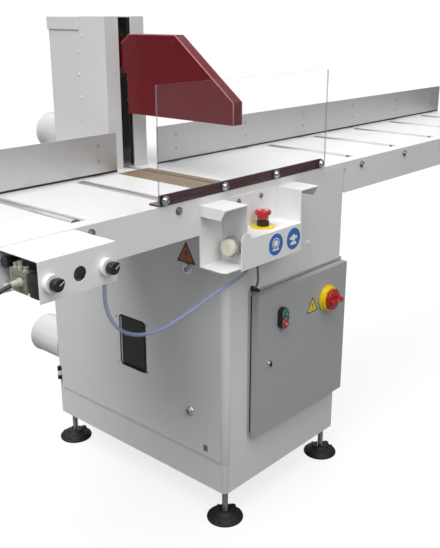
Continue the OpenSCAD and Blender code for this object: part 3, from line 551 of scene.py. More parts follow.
class Solid:
    """A mesh drawn in millimetres from a place on the machine, and then fitted to a body."""

    def __init__(self, place: Vector, facing: Facing = Facing.UP) -> None:
        """Start an empty solid at a place, drawn as seen from one side."""
        self.mesh = bmesh.new()
        self.frame = Matrix.Translation(place) @ facing.turn().to_4x4() @ Matrix.Scale(0.001, 4)

    def _points(self, points: Iterable[Sequence[float]]) -> list[bmesh.types.BMVert]:
        """Add vertices given in the drawing's own millimetres."""
        return [self.mesh.verts.new(self.frame @ Vector(p)) for p in points]

    def _join(self, loops: Sequence[list[bmesh.types.BMVert]]) -> None:
        """Skin each pair of neighbouring loops.

        Args:
            loops: Loops of vertices; one of a single vertex is a tip.
        """
        for low, high in zip(loops, loops[1:]):
            count = max(len(low), len(high))
            for i in range(count):
                j = (i + 1) % count
                if len(low) == len(high) > 1:
                    self.mesh.faces.new((low[i], low[j], high[j], high[i]))
                elif len(high) > 1:
                    self.mesh.faces.new((low[0], high[j], high[i]))
                elif len(low) > 1:
                    self.mesh.faces.new((low[i], low[j], high[0]))

    def loft(self, rings: Sequence[Sequence[Sequence[float]]]) -> "Solid":
        """Join rings of points into a closed skin.

        Args:
            rings: Loops of points, each with the same number, or with one where the skin comes to a tip.

        Returns:
            This solid.
        """
        loops = [self._points(ring) for ring in rings]
        self._join(loops)
        for loop in (loops[0][::-1], loops[-1]):
            if len(loop) > 1:
                self.mesh.faces.new(loop)
        return self

    def slab(self, outline: Outline, low: float, high: float, edge: float = 0.0,
             x: float = 0.0, y: float = 0.0) -> "Solid":
        """Extrude an outline, with its upper edge eased.

        Args:
            outline: The outline, anticlockwise.
            low: Where the slab starts.
            high: Where it ends.
            edge: Size of the eased upper edge.
            x: Sideways shift of the outline.
            y: Upward shift of the outline.

        Returns:
            This solid.
        """
        outline = [(px + x, py + y) for px, py in outline]
        middle = Vector((sum(p[0] for p in outline), sum(p[1] for p in outline))) / len(outline)
        span = max((Vector(p) - middle).length for p in outline)
        steps = [(low, 0.0), (high - edge, 0.0), (high - 0.3 * edge, 0.3), (high, 1.0)]
        rings = []
        for z, share in steps if edge else [(low, 0.0), (high, 0.0)]:
            pull = 1 - share * edge / span
            rings.append([(middle.x + (px - middle.x) * pull, middle.y + (py - middle.y) * pull, z)
                          for px, py in outline])
        return self.loft(rings)

    def ring(self, outer: Outline, inner: Outline, low: float, high: float) -> "Solid":
        """Extrude the band between two outlines with the same number of points.

        Args:
            outer: The outer outline.
            inner: The inner outline.
            low: Where the band starts.
            high: Where it ends.

        Returns:
            This solid.
        """
        loops = [self._points([(x, y, z) for x, y in line])
                 for line, z in ((outer, low), (outer, high), (inner, high), (inner, low))]
        self._join([*loops, loops[0]])
        return self

    def hoop(self, profile: Outline, count: int = 72) -> "Solid":
        """Turn a closed profile into a hoop, such as a rolled edge.

        Args:
            profile: Points of (radius, height) round the hoop's section.
            count: Number of facets round the hoop.

        Returns:
            This solid.
        """
        loops = [self._points([(x, y, height) for x, y in circle(radius, count)])
                 for radius, height in profile]
        self._join([*loops, loops[0]])
        return self

    def turned(self, profile: Outline, count: int = 48, x: float = 0.0, y: float = 0.0) -> "Solid":
        """Turn a profile of (radius, height) about the drawing's own axis.

        Args:
            profile: Points from the bottom to the top; a radius of 0 closes the form.
            count: Number of facets round it.
            x: Sideways place of the axis.
            y: Upward place of the axis.

        Returns:
            This solid.
        """
        return self.loft([[(px, py, height) for px, py in circle(radius, count if radius else 1, x, y)]
                          for radius, height in profile])

    def bead(self, path: Sequence[Pair], x: float, radius: float, count: int = 10) -> "Solid":
        """Lay a round bead along a line that stays at one x.

        Args:
            path: Points of the line as (y, z).
            x: Where the line lies across the machine.
            radius: Radius of the bead.
            count: Number of facets round it.

        Returns:
            This solid.
        """
        line = [Vector(p) for p in path]
        rings = []
        for here, before, after in zip(line, line[:1] + line, line[1:] + line[-1:]):
            ahead = (after - before).normalized()
            rings.append([(x + side, here.x - up * ahead.y, here.y + up * ahead.x)
                          for side, up in circle(radius, count)])
        return self.loft(rings)

    def fit(self, name: str, body: str, finish: Finish, slot: str = "", bevel: float = 0.0,
            stands_for: Sequence[str] = ()) -> None:
        """Make the object and let it ride on its body.

        Args:
            name: The piece's name.
            body: The body it moves with.
            finish: Its finish.
            slot: The record's material slot for the piece; not used.
            bevel: Size of its eased edges in millimetres.
            stands_for: Nodes of the frame that it is shown in place of.
        """
        bmesh.ops.recalc_face_normals(self.mesh, faces=self.mesh.faces[:])
        data = bpy.data.meshes.new(name)
        for face in self.mesh.faces:
            face.smooth = True
        for edge in self.mesh.edges:
            edge.smooth = len(edge.link_faces) == 2 and edge.calc_face_angle(0) < SHARP
        self.mesh.to_mesh(data)
        self.mesh.free()
        data.materials.append(Paintshop.get(finish))
        piece = bpy.data.objects.new(name, data)
        bpy.context.scene.collection.objects.link(piece)
        if bevel:
            ease_edges(piece, bevel)
        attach(piece, body)
        if stands_for:
            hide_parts(*stands_for)


def studs(name: str, body: str, finish: Finish, slot: str, facing: Facing, profile: Outline, count: int,
          places: Iterable[Triple], bevel: float = 0.0) -> None:
    """Fit the same small turned part at several places, with numbered names.

    Args:
        name: What the parts are called before their numbers.
        body: The body they move with.
        finish: Their finish.
        slot: The record's material slot for the parts; not used.
        facing: The way they point.
        profile: Their profile of (radius, height).
        count: Number of facets round each.
        places: Where they sit, in millimetres.
        bevel: Size of their eased edges in millimetres.
    """
    for number, place in enumerate(places, 1):
        Solid(at(*place), facing).turned(profile, count).fit(f"{name}_{number}", body, finish, slot, bevel)


def ease_edges(piece: bpy.types.Object, size: float, weld: bool = False) -> None:
    """Round a piece's sharp edges a little.

    Args:
        piece: The object to work on.
        size: Width of the rounding in millimetres.
        weld: Whether its vertices are joined first.
    """
    if weld:
        joined = piece.modifiers.new("join", "WELD")
        joined.merge_threshold = 0.00001
        flat = piece.modifiers.new("flat", "DECIMATE")
        flat.decimate_type = "DISSOLVE"
        flat.angle_limit = math.radians(0.3)
        flat.delimit = {"MATERIAL"}
    ease = piece.modifiers.new("ease", "BEVEL")
    ease.width = size / 1000
    ease.segments = 2
    ease.limit_method = "ANGLE"
    ease.angle_limit = math.radians(40)
    ease.harden_normals = True
    ease.use_clamp_overlap = True


def dress(node: str, finish: Finish, edge: float = 0.0) -> None:
    """Give one of the frame's own nodes its finish.

    Args:
        node: The node's name.
        finish: Its finish.
        edge: Width of its eased edges in millimetres.
    """
    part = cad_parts[node]
    part.data.materials.clear()
    part.data.materials.append(Paintshop.get(finish))
    if edge:
        ease_edges(part, edge, weld=True)


def dress_apart(node: str, finish: Finish, test: Callable[[Vector, Vector], bool]) -> None:
    """Give the faces of a node that pass a test a second finish.

    Args:
        node: The node's name.
        finish: The second finish.
        test: Says yes or no to a face, from its middle and its normal.
    """
    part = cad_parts[node]
    part.data.materials.append(Paintshop.get(finish))
    last = len(part.data.materials) - 1
    for face in part.data.polygons:
        if test(face.center, face.normal):
            face.material_index = last


# --- camera, light, floor


@dataclass
class Studio:
    """Pale floor, soft light and the viewpoint."""

    eye: Vector = field(default_factory=lambda: at(-1591, -1530, 1317))
    right: Triple = (0.6672, -0.7449, 0.0)
    up: Triple = (0.2376, 0.2128, 0.9478)
    lens: float = 51.3
    floor_reach: float = 40.0
    suns: tuple[tuple[str, Pair, float, float], ...] = (
        ("ceiling", (0.05, -0.40), 0.75, 60), ("window_side", (-0.62, 0.0), 2.75, 50),
        ("far_side", (0.9, 1.0), 1.0, 60))

    def camera(self) -> None:
        """Place the camera."""
        data = bpy.data.cameras.new("camera")
        data.lens = self.lens
        data.sensor_width = 36.0
        data.clip_end = 100.0
        camera = bpy.data.objects.new("camera", data)
        right, up = Vector(self.right).normalized(), Vector(self.up).normalized()
        turn = Matrix((right, up, right.cross(up))).transposed().to_4x4()
        camera.matrix_world = Matrix.Translation(self.eye) @ turn
        bpy.context.scene.collection.objects.link(camera)
        bpy.context.scene.camera = camera

    def lamp(self, name: str, place: Vector, target: Vector, size: float, power: float) -> None:
        """Add one soft lamp.

        Args:
            name: The lamp's name.
            place: Where it stands.
            target: What it points at.
            size: Width of its panel in metres.
            power: Its power in watts.
        """
        data = bpy.data.lights.new(name, "AREA")
        data.shape = "SQUARE"
        data.size = size
        data.energy = power
        lamp = bpy.data.objects.new(name, data)
        lamp.location = place
        lamp.rotation_euler = (target - place).to_track_quat("-Z", "Y").to_euler()
        bpy.context.scene.collection.objects.link(lamp)

    def sun(self, name: str, lean: Pair, power: float, spread: float) -> None:
        """Add one broad, even light from above.

        Args:
            name: The light's name.
            lean: How far it comes from the right and from the back, for each metre of height.
            power: Its strength.
            spread: Width of its disc in degrees, for soft shadows.
        """
        data = bpy.data.lights.new(name, "SUN")
        data.energy = power
        data.angle = math.radians(spread)
        lamp = bpy.data.objects.new(name, data)
        lamp.rotation_euler = Vector((-lean[0], -lean[1], -1)).to_track_quat("-Z", "Y").to_euler()
        bpy.context.scene.collection.objects.link(lamp)

    def light(self) -> None:
        """Light the room and lay the floor."""
        room = NodeShop("room", room=True)
        seen = room.make("ShaderNodeLightPath")
        room.set(Color=room.mix(seen, (0.12, 0.123, 0.13), (1.0, 1.0, 1.0)), Strength=1.0)
        bpy.context.scene.world = room.material
        bpy.context.scene.view_settings.view_transform = "Standard"
        for name, lean, power, spread in self.suns:
            self.sun(name, lean, power, spread)
        self.lamp("key", at(-1200, -3200, 2600), at(0, 0, 800), 2.0, 42)
        shop = NodeShop("floor_paint")
        seen = shop.make("ShaderNodeLightPath")
        shop.set(Base_Color=shop.mix(shop.noise(0.8, 2), (0.22, 0.22, 0.22), (0.235, 0.235, 0.235)),
                 Roughness=0.8 + 0.1 * shop.noise(0.1, 2),
                 Emission_Color=shop.mix(seen, (0.0, 0.0, 0.0), (0.77, 0.77, 0.77)),
                 Emission_Strength=1.0, Specular_IOR_Level=0.1)
        data = bpy.data.meshes.new("floor")
        reach = self.floor_reach
        data.from_pydata([(-reach, -reach, 0), (reach, -reach, 0), (reach, reach, 0), (-reach, reach, 0)],
                         [], [(0, 1, 2, 3)])
        data.materials.append(shop.material)
        floor = bpy.data.objects.new("floor", data)
        bpy.context.scene.collection.objects.link(floor)


# --- free tube and cables


@dataclass(frozen=True)
class Line:
    """A free tube or cable: its two ends in millimetres, and the shares of the way between them."""

    name: str
    start: Triple
    end: Triple
    shares: tuple[Triple, ...]
    diameter: float
    finish: Finish
    slot: str
    stiffness: str

    def points(self) -> list[Vector]:
        """The route, in metres."""
        return [at(*(a + s * (b - a) for a, b, s in zip(self.start, self.end, share)))
                for share in self.shares]

    def smooth(self, steps: int = 3) -> list[Vector]:
        """Add points on a smooth curve between the route's own.

        Args:
            steps: Number of points made from each of its own.

        Returns:
            The finer route, in metres.
        """
        p = self.points()
        made = []
        for i in range(len(p) - 1):
            a, b, c, d = p[max(i - 1, 0)], p[i], p[i + 1], p[min(i + 2, len(p) - 1)]
            for k in range(steps):
                t = k / steps
                made.append(0.5 * (2 * b + (c - a) * t + (2 * a - 5 * b + 4 * c - d) * t * t
                                   + (3 * b - a - 3 * c + d) * t ** 3))
        return made + [p[-1]]

    def lay(self) -> None:
        route = self.smooth()
        data = bpy.data.curves.new(self.name, "CURVE")
        data.dimensions = "3D"
        data.bevel_depth = self.diameter / 2000
        data.bevel_resolution = 4
        data.use_fill_caps = True
        spline = data.splines.new("POLY")
        spline.points.add(len(route) - 1)
        for point, place in zip(spline.points, route):
            point.co = (*place, 1)
        spline.use_smooth = True
        data.materials.append(Paintshop.get(self.finish))
        piece = bpy.data.objects.new(self.name + "_line", data)
        bpy.context.scene.collection.objects.link(piece)
        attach(piece, "frame")
        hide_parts(self.name)
        length = sum((b - a).length for a, b in zip(route, route[1:]))
        log.info("%s: %.3f m long", self.name, length)


AIR_TUBE = Line("air_tube", (-706, -446, 845.6), (-226, -402, 757), (
    (0, 0, 0), (0, 0, 0.27), (0.002, 0.02, 0.55), (0.013, 0.03, 0.83), (0.038, 0.05, 1.09),
    (0.075, 0.09, 1.33), (0.123, 0.14, 1.52), (0.181, 0.2, 1.66), (0.246, 0.27, 1.75),
    (0.313, 0.34, 1.79), (0.381, 0.41, 1.79), (0.45, 0.48, 1.75), (0.521, 0.55, 1.7),
    (0.592, 0.61, 1.63), (0.663, 0.68, 1.56), (0.733, 0.75, 1.5), (0.804, 0.82, 1.45),
    (0.871, 0.88, 1.41), (0.925, 0.93, 1.37), (0.967, 0.97, 1.3), (0.992, 1, 1.17), (1, 1, 1)),
    8, BLUE_TUBE, "blue_tube", "medium")
BUTTON_CABLE = Line("button_cable", (-190, -396, 757), (-160, -356, 656), (
    (0, 0, 0), (0, 0, 0.15), (0.07, 0, 0.31), (0.2, 0.05, 0.47), (0.4, 0.15, 0.61),
    (0.6, 0.3, 0.74), (0.77, 0.48, 0.85), (0.9, 0.65, 0.93), (0.97, 0.83, 0.98), (1, 1, 1)),
    6, GREY_CABLE, "cable_rubber", "medium")
SUPPLY_LEAD = Line("supply_lead", (-862.4, -410, 868), (-988, -332, 831.6), (
    (0, 0, 0), (0.13, 0, 0.03), (0.27, 0.04, 0.17), (0.4, 0.12, 0.44), (0.53, 0.23, 0.83),
    (0.64, 0.38, 1.19), (0.75, 0.55, 1.47), (0.84, 0.72, 1.61), (0.92, 0.86, 1.58),
    (0.98, 0.96, 1.36), (1, 1, 1)),
    8, CABLE_RUBBER, "cable_rubber", "medium")


@dataclass
class Lines:
    """The tube, the cable and the lead, with the fittings that hold their ends."""

    def lay(self) -> None:
        """Lay the three lines."""
        for line in (AIR_TUBE, BUTTON_CABLE, SUPPLY_LEAD):
            line.lay()

    def gland(self, name: str, place: Triple, facing: Facing, bore: float,
              finish: Finish = BLACK_PLASTIC) -> None:
        """A tapered strain relief with its nut, on the surface that a line leaves.

        Args:
            name: The piece's name.
            place: Where it sits, in millimetres.
            facing: The way it points.
            bore: Diameter of the line.
            finish: Its finish.
        """
        r = bore / 2
        Solid(at(*place), facing).turned(
            [(r + 4.5, -1), (r + 4.5, 4), (r + 3.6, 5.5), (r + 2.8, 5.5), (r + 2.5, 9), (r + 2.9, 9.4),
             (r + 2.2, 12.5), (r + 2.6, 13), (r + 1.7, 16.5), (r + 2.0, 17), (r + 1.0, 22),
             (r + 0.2, 22)], 32
        ).fit(name, "frame", finish, "black_plastic")

    def fit_ends(self) -> None:
        """Fit the strain reliefs and the push-in fitting."""
        self.gland("gland_cabinet", (-160, -357, 656), Facing.FRONT, 6)
        self.gland("gland_tray_cable", (-190, -396, 757), Facing.DOWN, 6)
        self.gland("gland_tray_air", (-226, -402, 757), Facing.DOWN, 8)
        self.gland("gland_valves", (-862, -410, 868), Facing.LEFT, 8, PALE_PLASTIC)
        Solid(at(-706, -446, 845.6), Facing.DOWN).turned(
            [(8, -1), (8, 3), (6.4, 3.5), (6.4, 10), (7.2, 10.5), (7.2, 13), (5.0, 14), (4.1, 14)], 32
        ).fit("fitting_valves", "frame", BRASS, "blue_tube")
        Solid(at(-988, -332, 832), Facing.DOWN).turned([(8.5, 0), (8.5, 3), (7, 6), (4.1, 7)], 32).fit(
            "grommet_beam", "frame", SEAL_RUBBER, "cable_rubber")


# --- stickers


@dataclass(frozen=True)
class Triangle:
    """A plain warning triangle: coloured foil, black border and a bar over a dot."""

    name: str
    place: Triple
    facing: Facing
    side: float
    body: str
    foil: Finish

    def outline(self, side: float) -> Outline:
        """Outline of a triangle with rounded corners about its middle."""
        high = side * math.sqrt(3) / 2
        return softened([(-side / 2, -high / 3), (side / 2, -high / 3), (0, high * 2 / 3)], side * 0.09)

    def stick(self) -> None:
        """Lay the foil, the border and the sign."""
        s = self.side
        Solid(at(*self.place), self.facing).slab(self.outline(s), 0, 0.25).fit(
            self.name + "_border", self.body, PRINT_BLACK)
        Solid(at(*self.place), self.facing).slab(self.outline(s * 0.80), 0.2, 0.4).fit(
            self.name + "_foil", self.body, self.foil)
        bar = [(s * across, s * up)
               for across, up in ((-0.028, -0.03), (0.028, -0.03), (0.05, 0.2), (-0.05, 0.2))]
        Solid(at(*self.place), self.facing).slab(bar, 0.35, 0.5).slab(
            circle(s * 0.042, 20, 0, -s * 0.105), 0.35, 0.5).fit(self.name + "_sign", self.body, PRINT_BLACK)


# --- cabinet


@dataclass
class Cabinet:
    """The cabinet, its side door and its feet."""

    door_face: float = -256.5
    locks: tuple[tuple[str, float], ...] = (("lower", 303), ("upper", 703))
    window_screws: Pairs = ((-65, 365), (-65, 503), (57, 365), (57, 503))
    rear_screws: Pairs = ((-150, 160), (150, 160), (-150, 860), (150, 860))
    feet: Pairs = ((-225, -325), (225, -325), (-225, 325), (225, 325))

    def dress(self) -> None:
        """Finish the frame's own sheet metal."""
        dress("cabinet", WHITE_COAT, 0.8)
        dress("side_door", DOOR_COAT, 0.6)
        dress("door_window", DARK_PANE, 0.4)
        dress("door_hinges", BLACK_PLASTIC, 0.5)
        dress("door_lock_upper", CHROME, 0.4)
        dress("door_lock_lower", CHROME, 0.4)

    def trim_door(self) -> None:
        """Window seal, screws, lock faces, sticker and a small plate."""
        face = self.door_face
        Solid(at(face, -6, 435), Facing.LEFT).ring(
            rounded(105, 155, 11), rounded(96, 146, 8), -0.6, 0.5
        ).fit("window_seal", "side_door", SEAL_RUBBER, "rubber_foot")
        studs("window_screw", "side_door", BRIGHT_STEEL, "zinc_steel", Facing.LEFT,
              [(4, 0), (4, 0.6), (3.2, 1.7), (1.7, 2.1), (1.7, 1.2), (0, 1.2)], 24,
              [(face, y, z) for y, z in self.window_screws])
        for side, z in self.locks:
            Solid(at(face - 6, -225, z), Facing.LEFT).ring(circle(9.0, 36), circle(6.0, 36), -0.4, 0.8).slab(
                [(-3.4, -2), (3.4, -2), (0, 3.9)], -0.5, 0.7).fit(
                f"lock_face_{side}", f"door_lock_{side}", CHROME, "chromed_lock", 0.2)
            Solid(at(face - 6, -225, z), Facing.LEFT).slab(circle(6.0, 36), -0.3, 0.06).fit(
                f"lock_socket_{side}", f"door_lock_{side}", BLACK_PLASTIC, "black_plastic")
            Solid(at(face, -225, z), Facing.LEFT).turned(
                [(12.4, 0), (14.6, 0), (14.9, 0.5), (14.2, 1.8), (12.4, 2.4)], 48
            ).fit(f"lock_rose_{side}", "side_door", CHROME, "chromed_lock")
        Triangle("door_triangle", (face, -221, 737), Facing.LEFT, 66, "side_door", PRINT_ORANGE).stick()
        Solid(at(face, -283, 213), Facing.LEFT).slab(rounded(15, 18, 2), 0, 0.5, 0.2).fit(
            "door_plate", "side_door", PRINT_GREY)

    def trim_body(self) -> None:
        """Blanking cap and corner seam in front, and the screws at the back."""
        Solid(at(84, FRONT, 722), Facing.FRONT).turned(
            [(8, 0), (8, 0.8), (6.6, 2.4), (3, 3.3), (0, 3.5)], 32
        ).fit("blanking_cap", "frame", TRAY_COAT, "white_powder_coat")
        Solid(at(-248.3, -345.3, 505)).turned([(0.95, -317), (0.95, 317)], 12).fit(
            "corner_seam", "frame", SEAM, "white_powder_coat")
        studs("rear_screw", "frame", BOLT_STEEL, "zinc_steel", Facing.BACK,
              [(6, 0), (6, 1), (4.6, 3.4), (2.6, 4), (2.6, 2.4), (0, 2.4)], 24,
              [(x, BACK, z) for x, z in self.rear_screws])

    def fit_feet(self) -> None:
        """Domed pads with their lugs, threaded stems and nuts."""
        thread = [(5, 13)]
        for k in range(39):
            thread += [(6.9, 14 + 2 * k), (8.0, 14.6 + 2 * k), (8.0, 15.2 + 2 * k), (6.9, 15.8 + 2 * k)]
        for number, (x, y) in enumerate(self.feet, 1):
            pad = Solid(at(x, y, 0))
            pad.turned([(0, 0), (46, 0), (49.2, 1.2), (50, 3.4), (49.4, 6.2), (47.2, 8.4), (43.5, 9.8),
                        (42.2, 12.2), (38, 14.8), (30, 17.4), (24.5, 20.5), (21.8, 24.2), (20.8, 25.6),
                        (18.5, 26.2), (13, 26.2), (12.4, 24), (8.4, 23)], 64)
            for k in range(8):
                angle = math.tau * (k + 0.5) / 8
                pad.turned([(3.4, 8.6), (3.4, 12.4), (2.6, 13.2), (0, 13.3)], 16,
                           42.6 * math.cos(angle), 42.6 * math.sin(angle))
            pad.turned([(9, 3), (9, 20.2), (8, 21), (0, 21)], 28, 32, 0)
            pad.fit(f"foot_pad_{number}", "frame", FOOT_RUBBER, "rubber_foot",
                    stands_for=(f"foot_{number}",))
            Solid(at(x, y, 0)).turned(thread + [(6.4, 92), (6.4, 129)], 32).fit(
                f"foot_stem_{number}", "frame", BRIGHT_STEEL, "rubber_foot")
            Solid(at(x, y, 0)).turned(
                [(8, 81), (13, 81), (14, 82.2), (14, 92.6), (13, 93.9), (8, 93.9)], 6
            ).fit(f"foot_nut_{number}", "frame", BRIGHT_STEEL, "rubber_foot", 0.3)

    def build(self) -> None:
        """Finish and trim the whole cabinet."""
        self.dress()
        self.trim_door()
        self.trim_body()
        self.fit_feet()
        log.info("cabinet: door, window, locks and feet fitted")


# --- switch enclosure


@dataclass
class Enclosure:
    """The switch enclosure on the cabinet's front, with its buttons and main switch."""

    door_face: float = -380.0
    middle: Pair = (38, 440)
    lock: Pair = (-112, 440)
    button: Pair = (-68, 558)
    button_gap: float = 14.0
    switch: Pair = (140, 555)
    switch_screw: float = 23.4

    def dress(self) -> None:
        """Finish the frame's own parts."""
        dress("enclosure_box", RIM_COAT, 0.5)
        dress("enclosure_door", GREY_COAT, 1.4)
        dress("enclosure_lock", CHROME, 0.4)
        dress("button_bezel", BLACK_PLASTIC, 1.2)
        dress("start_button", GREEN_PLASTIC, 0.7)
        dress("stop_button", RED_PLASTIC, 0.7)
        dress("switch_base", YELLOW_PLASTIC, 1.0)

    def trim_door(self) -> None:
        """Seal, sticker and lock face."""
        x, z = self.middle
        Solid(at(x, -353, z), Facing.FRONT).ring(rounded(396, 396, 6), rounded(372, 372, 3), 0, 5.6).fit(
            "door_seal", "frame", SEAL_RUBBER, "rubber_foot")
        Triangle("enclosure_triangle", (73, self.door_face, 546), Facing.FRONT, 52, "enclosure_door",
                 PRINT_YELLOW).stick()
        x, z = self.lock
        Solid(at(x, self.door_face - 5, z), Facing.FRONT).slab(circle(5.4, 32), -0.2, 0.2).slab(
            rounded(2.4, 15, 1.1), 0.1, 2.6, 0.4).fit(
            "enclosure_lock_insert", "enclosure_lock", BLACK_PLASTIC, "black_plastic")
        Solid(at(x, self.door_face, z), Facing.FRONT).turned(
            [(8.2, 0), (10.4, 0), (10.4, 1.0), (9.6, 1.8), (8.2, 2.2)], 40).fit(
            "enclosure_lock_rose", "enclosure_door", CHROME, "chromed_lock")

    def trim_buttons(self) -> None:
        """Collars and plain marks of the two push buttons."""
        x, z = self.button
        bezel = self.door_face - 16
        cap = bezel - 3.5
        start, stop = z + self.button_gap, z - self.button_gap
        for name, height in (("start", start), ("stop", stop)):
            Solid(at(x, bezel, height), Facing.FRONT).ring(
                circle(14.2, 40), circle(12.35, 40), -0.5, 1.2
            ).fit(f"{name}_collar", "enclosure_door", ALUMINIUM, "bare_aluminium", 0.25)
        Solid(at(x, cap, start), Facing.FRONT).slab(rounded(1.2, 6.4, 0.5), -0.1, 0.25).fit(
            "start_mark", "start_button", PRINT_WHITE)
        Solid(at(x, cap, stop), Facing.FRONT).ring(circle(3.4, 32), circle(2.5, 32), -0.1, 0.25).fit(
            "stop_mark", "stop_button", PRINT_WHITE)

    def fit_switch(self) -> None:
        """Red rotary knob with its grip, pointer and the screws of its base."""
        x, z = self.switch
        face, out = self.door_face - 18, self.switch_screw
        knob = Solid(at(x, face, z), Facing.FRONT)
        knob.turned(
            [(0, 0.6), (28.6, 0.6), (29.8, 2.0), (29.8, 7.4), (28.4, 9.4), (24, 10.6), (0, 10.6)], 72)
        knob.slab(softened([(-26.5, -6.6), (26.5, -6.6), (26.5, 6.6), (-26.5, 6.6)], 6.4), 9.5, 23.6, 2.6)
        knob.fit("switch_handle", "main_switch", RED_PLASTIC, "red_plastic", 0.5, ("switch_knob",))
        Solid(at(x, face - 23.6, z), Facing.FRONT).slab(rounded(2.2, 7, 1), -0.2, 0.3).fit(
            "switch_pointer", "main_switch", PRINT_WHITE)
        studs("switch_screw", "enclosure_door", BLACK_PLASTIC, "black_plastic", Facing.FRONT,
              [(2.2, -0.5), (2.2, 0.3), (1.6, 0.6), (0, 0.6)], 20,
              [(x + across, face, z + up) for up in (out, -out) for across in (-out, out)])

    def build(self) -> None:
        """Finish and trim the whole enclosure."""
        self.dress()
        self.trim_door()
        self.trim_buttons()
        self.fit_switch()
        log.info("enclosure: seal, buttons and main switch fitted")


# --- tables, fence, rollers


@dataclass
class Tables:
    """Middle table, roller tables and the fence."""

    rollers: tuple[float, ...] = (-410, -655, -900, 333, 578, 823, 1068, 1313)
    axle_level: float = 902.0
    insert_screws: Pairs = (
        (-275, -310), (-275, -162), (-275, -14), (-180, -310), (-180, -14))
    fence_feet: tuple[float, ...] = (
        -962, -648.75, -335.5, -60.5, 237.6, 535.7, 833.8, 1131.9, 1430)

    def dress(self) -> None:
        """Finish the frame's own plates, beams, rollers and bolts."""
        dress("throat_inserts", THROAT_BOARD, 0.6)
        for node in ("centre_table", "infeed_table", "outfeed_table"):
            dress(node, TABLE_COAT, 0.8)
        for node in ("infeed_fence", "outfeed_fence"):
            dress(node, FENCE_METAL, 0.5)
        for number in range(len(self.rollers)):
            dress(f"roller_{number + 1}", ROLLER_STEEL, 0.8)
        dress("bolts_and_axles", BOLT_STEEL, 0.5)

    def trim(self) -> None:
        """Sockets of the axle bolts, insert screws, the fence's bolts and screws, and a black strip along
        the fence's foot that paints the shadow of the gap under it.
        """
        studs("axle_socket", "frame", BRIGHT_STEEL, "zinc_steel", Facing.FRONT,
              [(5.4, -0.6), (5.4, 0.5), (4.2, 0.6), (3.4, -0.2), (0, -0.2)], 6,
              [(x, -357, self.axle_level) for x in self.rollers])
        studs("insert_screw", "frame", BRIGHT_STEEL, "zinc_steel", Facing.UP,
              [(3.6, -0.4), (3.6, 0.15), (1.8, -0.1), (0, -0.1)], 24,
              [(x, y, TABLE) for x, y in self.insert_screws])
        # The black strip along each fence's foot is a painted shadow of the gap between fence and table.
        for node in ("infeed_fence", "outfeed_fence"):
            low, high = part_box(node)
            middle = Vector(((low[0] + high[0]) / 2, low[1] + 0.0018, 0.9248))
            Solid(middle).slab(rounded((high[0] - low[0]) * 1000, 5.2, 1.2), -2.4, 2.4, 0.5).fit(
                node + "_edging", "frame", SEAL_RUBBER, "rubber_foot")
        for number, x in enumerate(self.fence_feet, 1):
            Solid(at(x, 28, 926)).turned([(7.6, -0.3), (7.6, 4.2), (6.6, 5), (0, 5)], 6).fit(
                f"fence_bolt_{number}", "frame", BOLT_STEEL, "zinc_steel", 0.3)
            studs(f"fence_screw_{number}", "frame", BOLT_STEEL, "zinc_steel", Facing.FRONT,
                  [(4.4, -0.3), (4.4, 0.2), (2.2, -0.1), (0, -0.1)], 24, [(x, 5, 958), (x, 5, 996)])

    def build(self) -> None:
        """Finish and trim the tables."""
        self.dress()
        self.trim()
        log.info("tables: %d rollers and the fence dressed", len(self.rollers))


# --- column and guard


@dataclass
class Column:
    """White column with its cap, rivets, slot brushes, guard rail and guard."""

    sides: tuple[tuple[str, Facing, float], ...] = (
        ("left", Facing.LEFT, -269.5), ("right", Facing.RIGHT, -136.5))
    rivets: Pairs = ((148, 1044), (148, 1102), (148, 1160), (148, 1218), (131, 1257))
    slot: Pair = (-223.5, -182.5)
    guard_sides: tuple[tuple[str, Facing, float, float], ...] = (
        ("left", Facing.LEFT, -218.5, 0.8), ("right", Facing.RIGHT, -187.5, -0.8))
    guard_rivets: Pairs = ((20, 1100), (20, 1150), (-20, 1246), (-150, 1246), (-325, 1084))
    guard_rim: Pairs = (
        (-341, 1068), (-341, 1117), (-339.6, 1118.6), (-156.5, 1261.4), (-154, 1262.2), (4.5, 1262.2),
        (6, 1261.7), (37, 1240))

    def trim_column(self) -> None:
        """Rivets in both sides, and the brushes that close the slot."""
        for side, facing, x in self.sides:
            studs(f"column_rivet_{side}", "frame", WHITE_COAT, "white_powder_coat", facing,
                  [(4, -0.2), (3.8, 0.7), (2.6, 1.5), (0, 1.9)], 24, [(x, y, z) for y, z in self.rivets])
        for number, (x, turn) in enumerate(zip(self.slot, (1, -1)), 1):
            Solid(at(x, 46, 0)).loft(
                [[(0, 0, z), (turn * 4.6, 0, z), (turn * 4.6, 4, z), (0, 4, z)][::turn]
                 for z in (924, 1110, 1298)]
            ).fit(f"slot_brush_{number}", "frame", SEAL_RUBBER, "rubber_foot")

    def trim_guard(self) -> None:
        """Round beads along both sides of the guard's rim, coloured pale burgundy as a painted highlight on
        its folded edges, and its rivets.
        """
        # Each bead's pale colour is a painted highlight where the rim folds.
        for side, _, x, inward in self.guard_sides:
            Solid(at(0, 0, 0)).bead(self.guard_rim, x + inward, 1.5).fit(
                f"guard_highlight_{side}", "guard", BURGUNDY_HIGHLIGHT, "burgundy_paint")
        for side, facing, x, _ in self.guard_sides:
            studs(f"guard_rivet_{side}", "guard", BURGUNDY, "burgundy_paint", facing,
                  [(3.4, -0.2), (3.4, 0.5), (2.4, 1.3), (0, 1.6)], 20,
                  [(x, y, z) for y, z in self.guard_rivets])

    def build(self) -> None:
        """Finish the column and the guard and fit their small parts."""
        dress("column", WHITE_COAT, 0.8)
        dress("column_cap", WHITE_COAT, 0.8)
        dress("guard", BURGUNDY, 1.5)
        dress("guard_rail", BOLT_STEEL, 0.4)
        dress("guard_cylinder", ALUMINIUM, 0.5)
        self.trim_column()
        self.trim_guard()
        log.info("column: rivets, slot brushes and guard fitted")


# --- shield


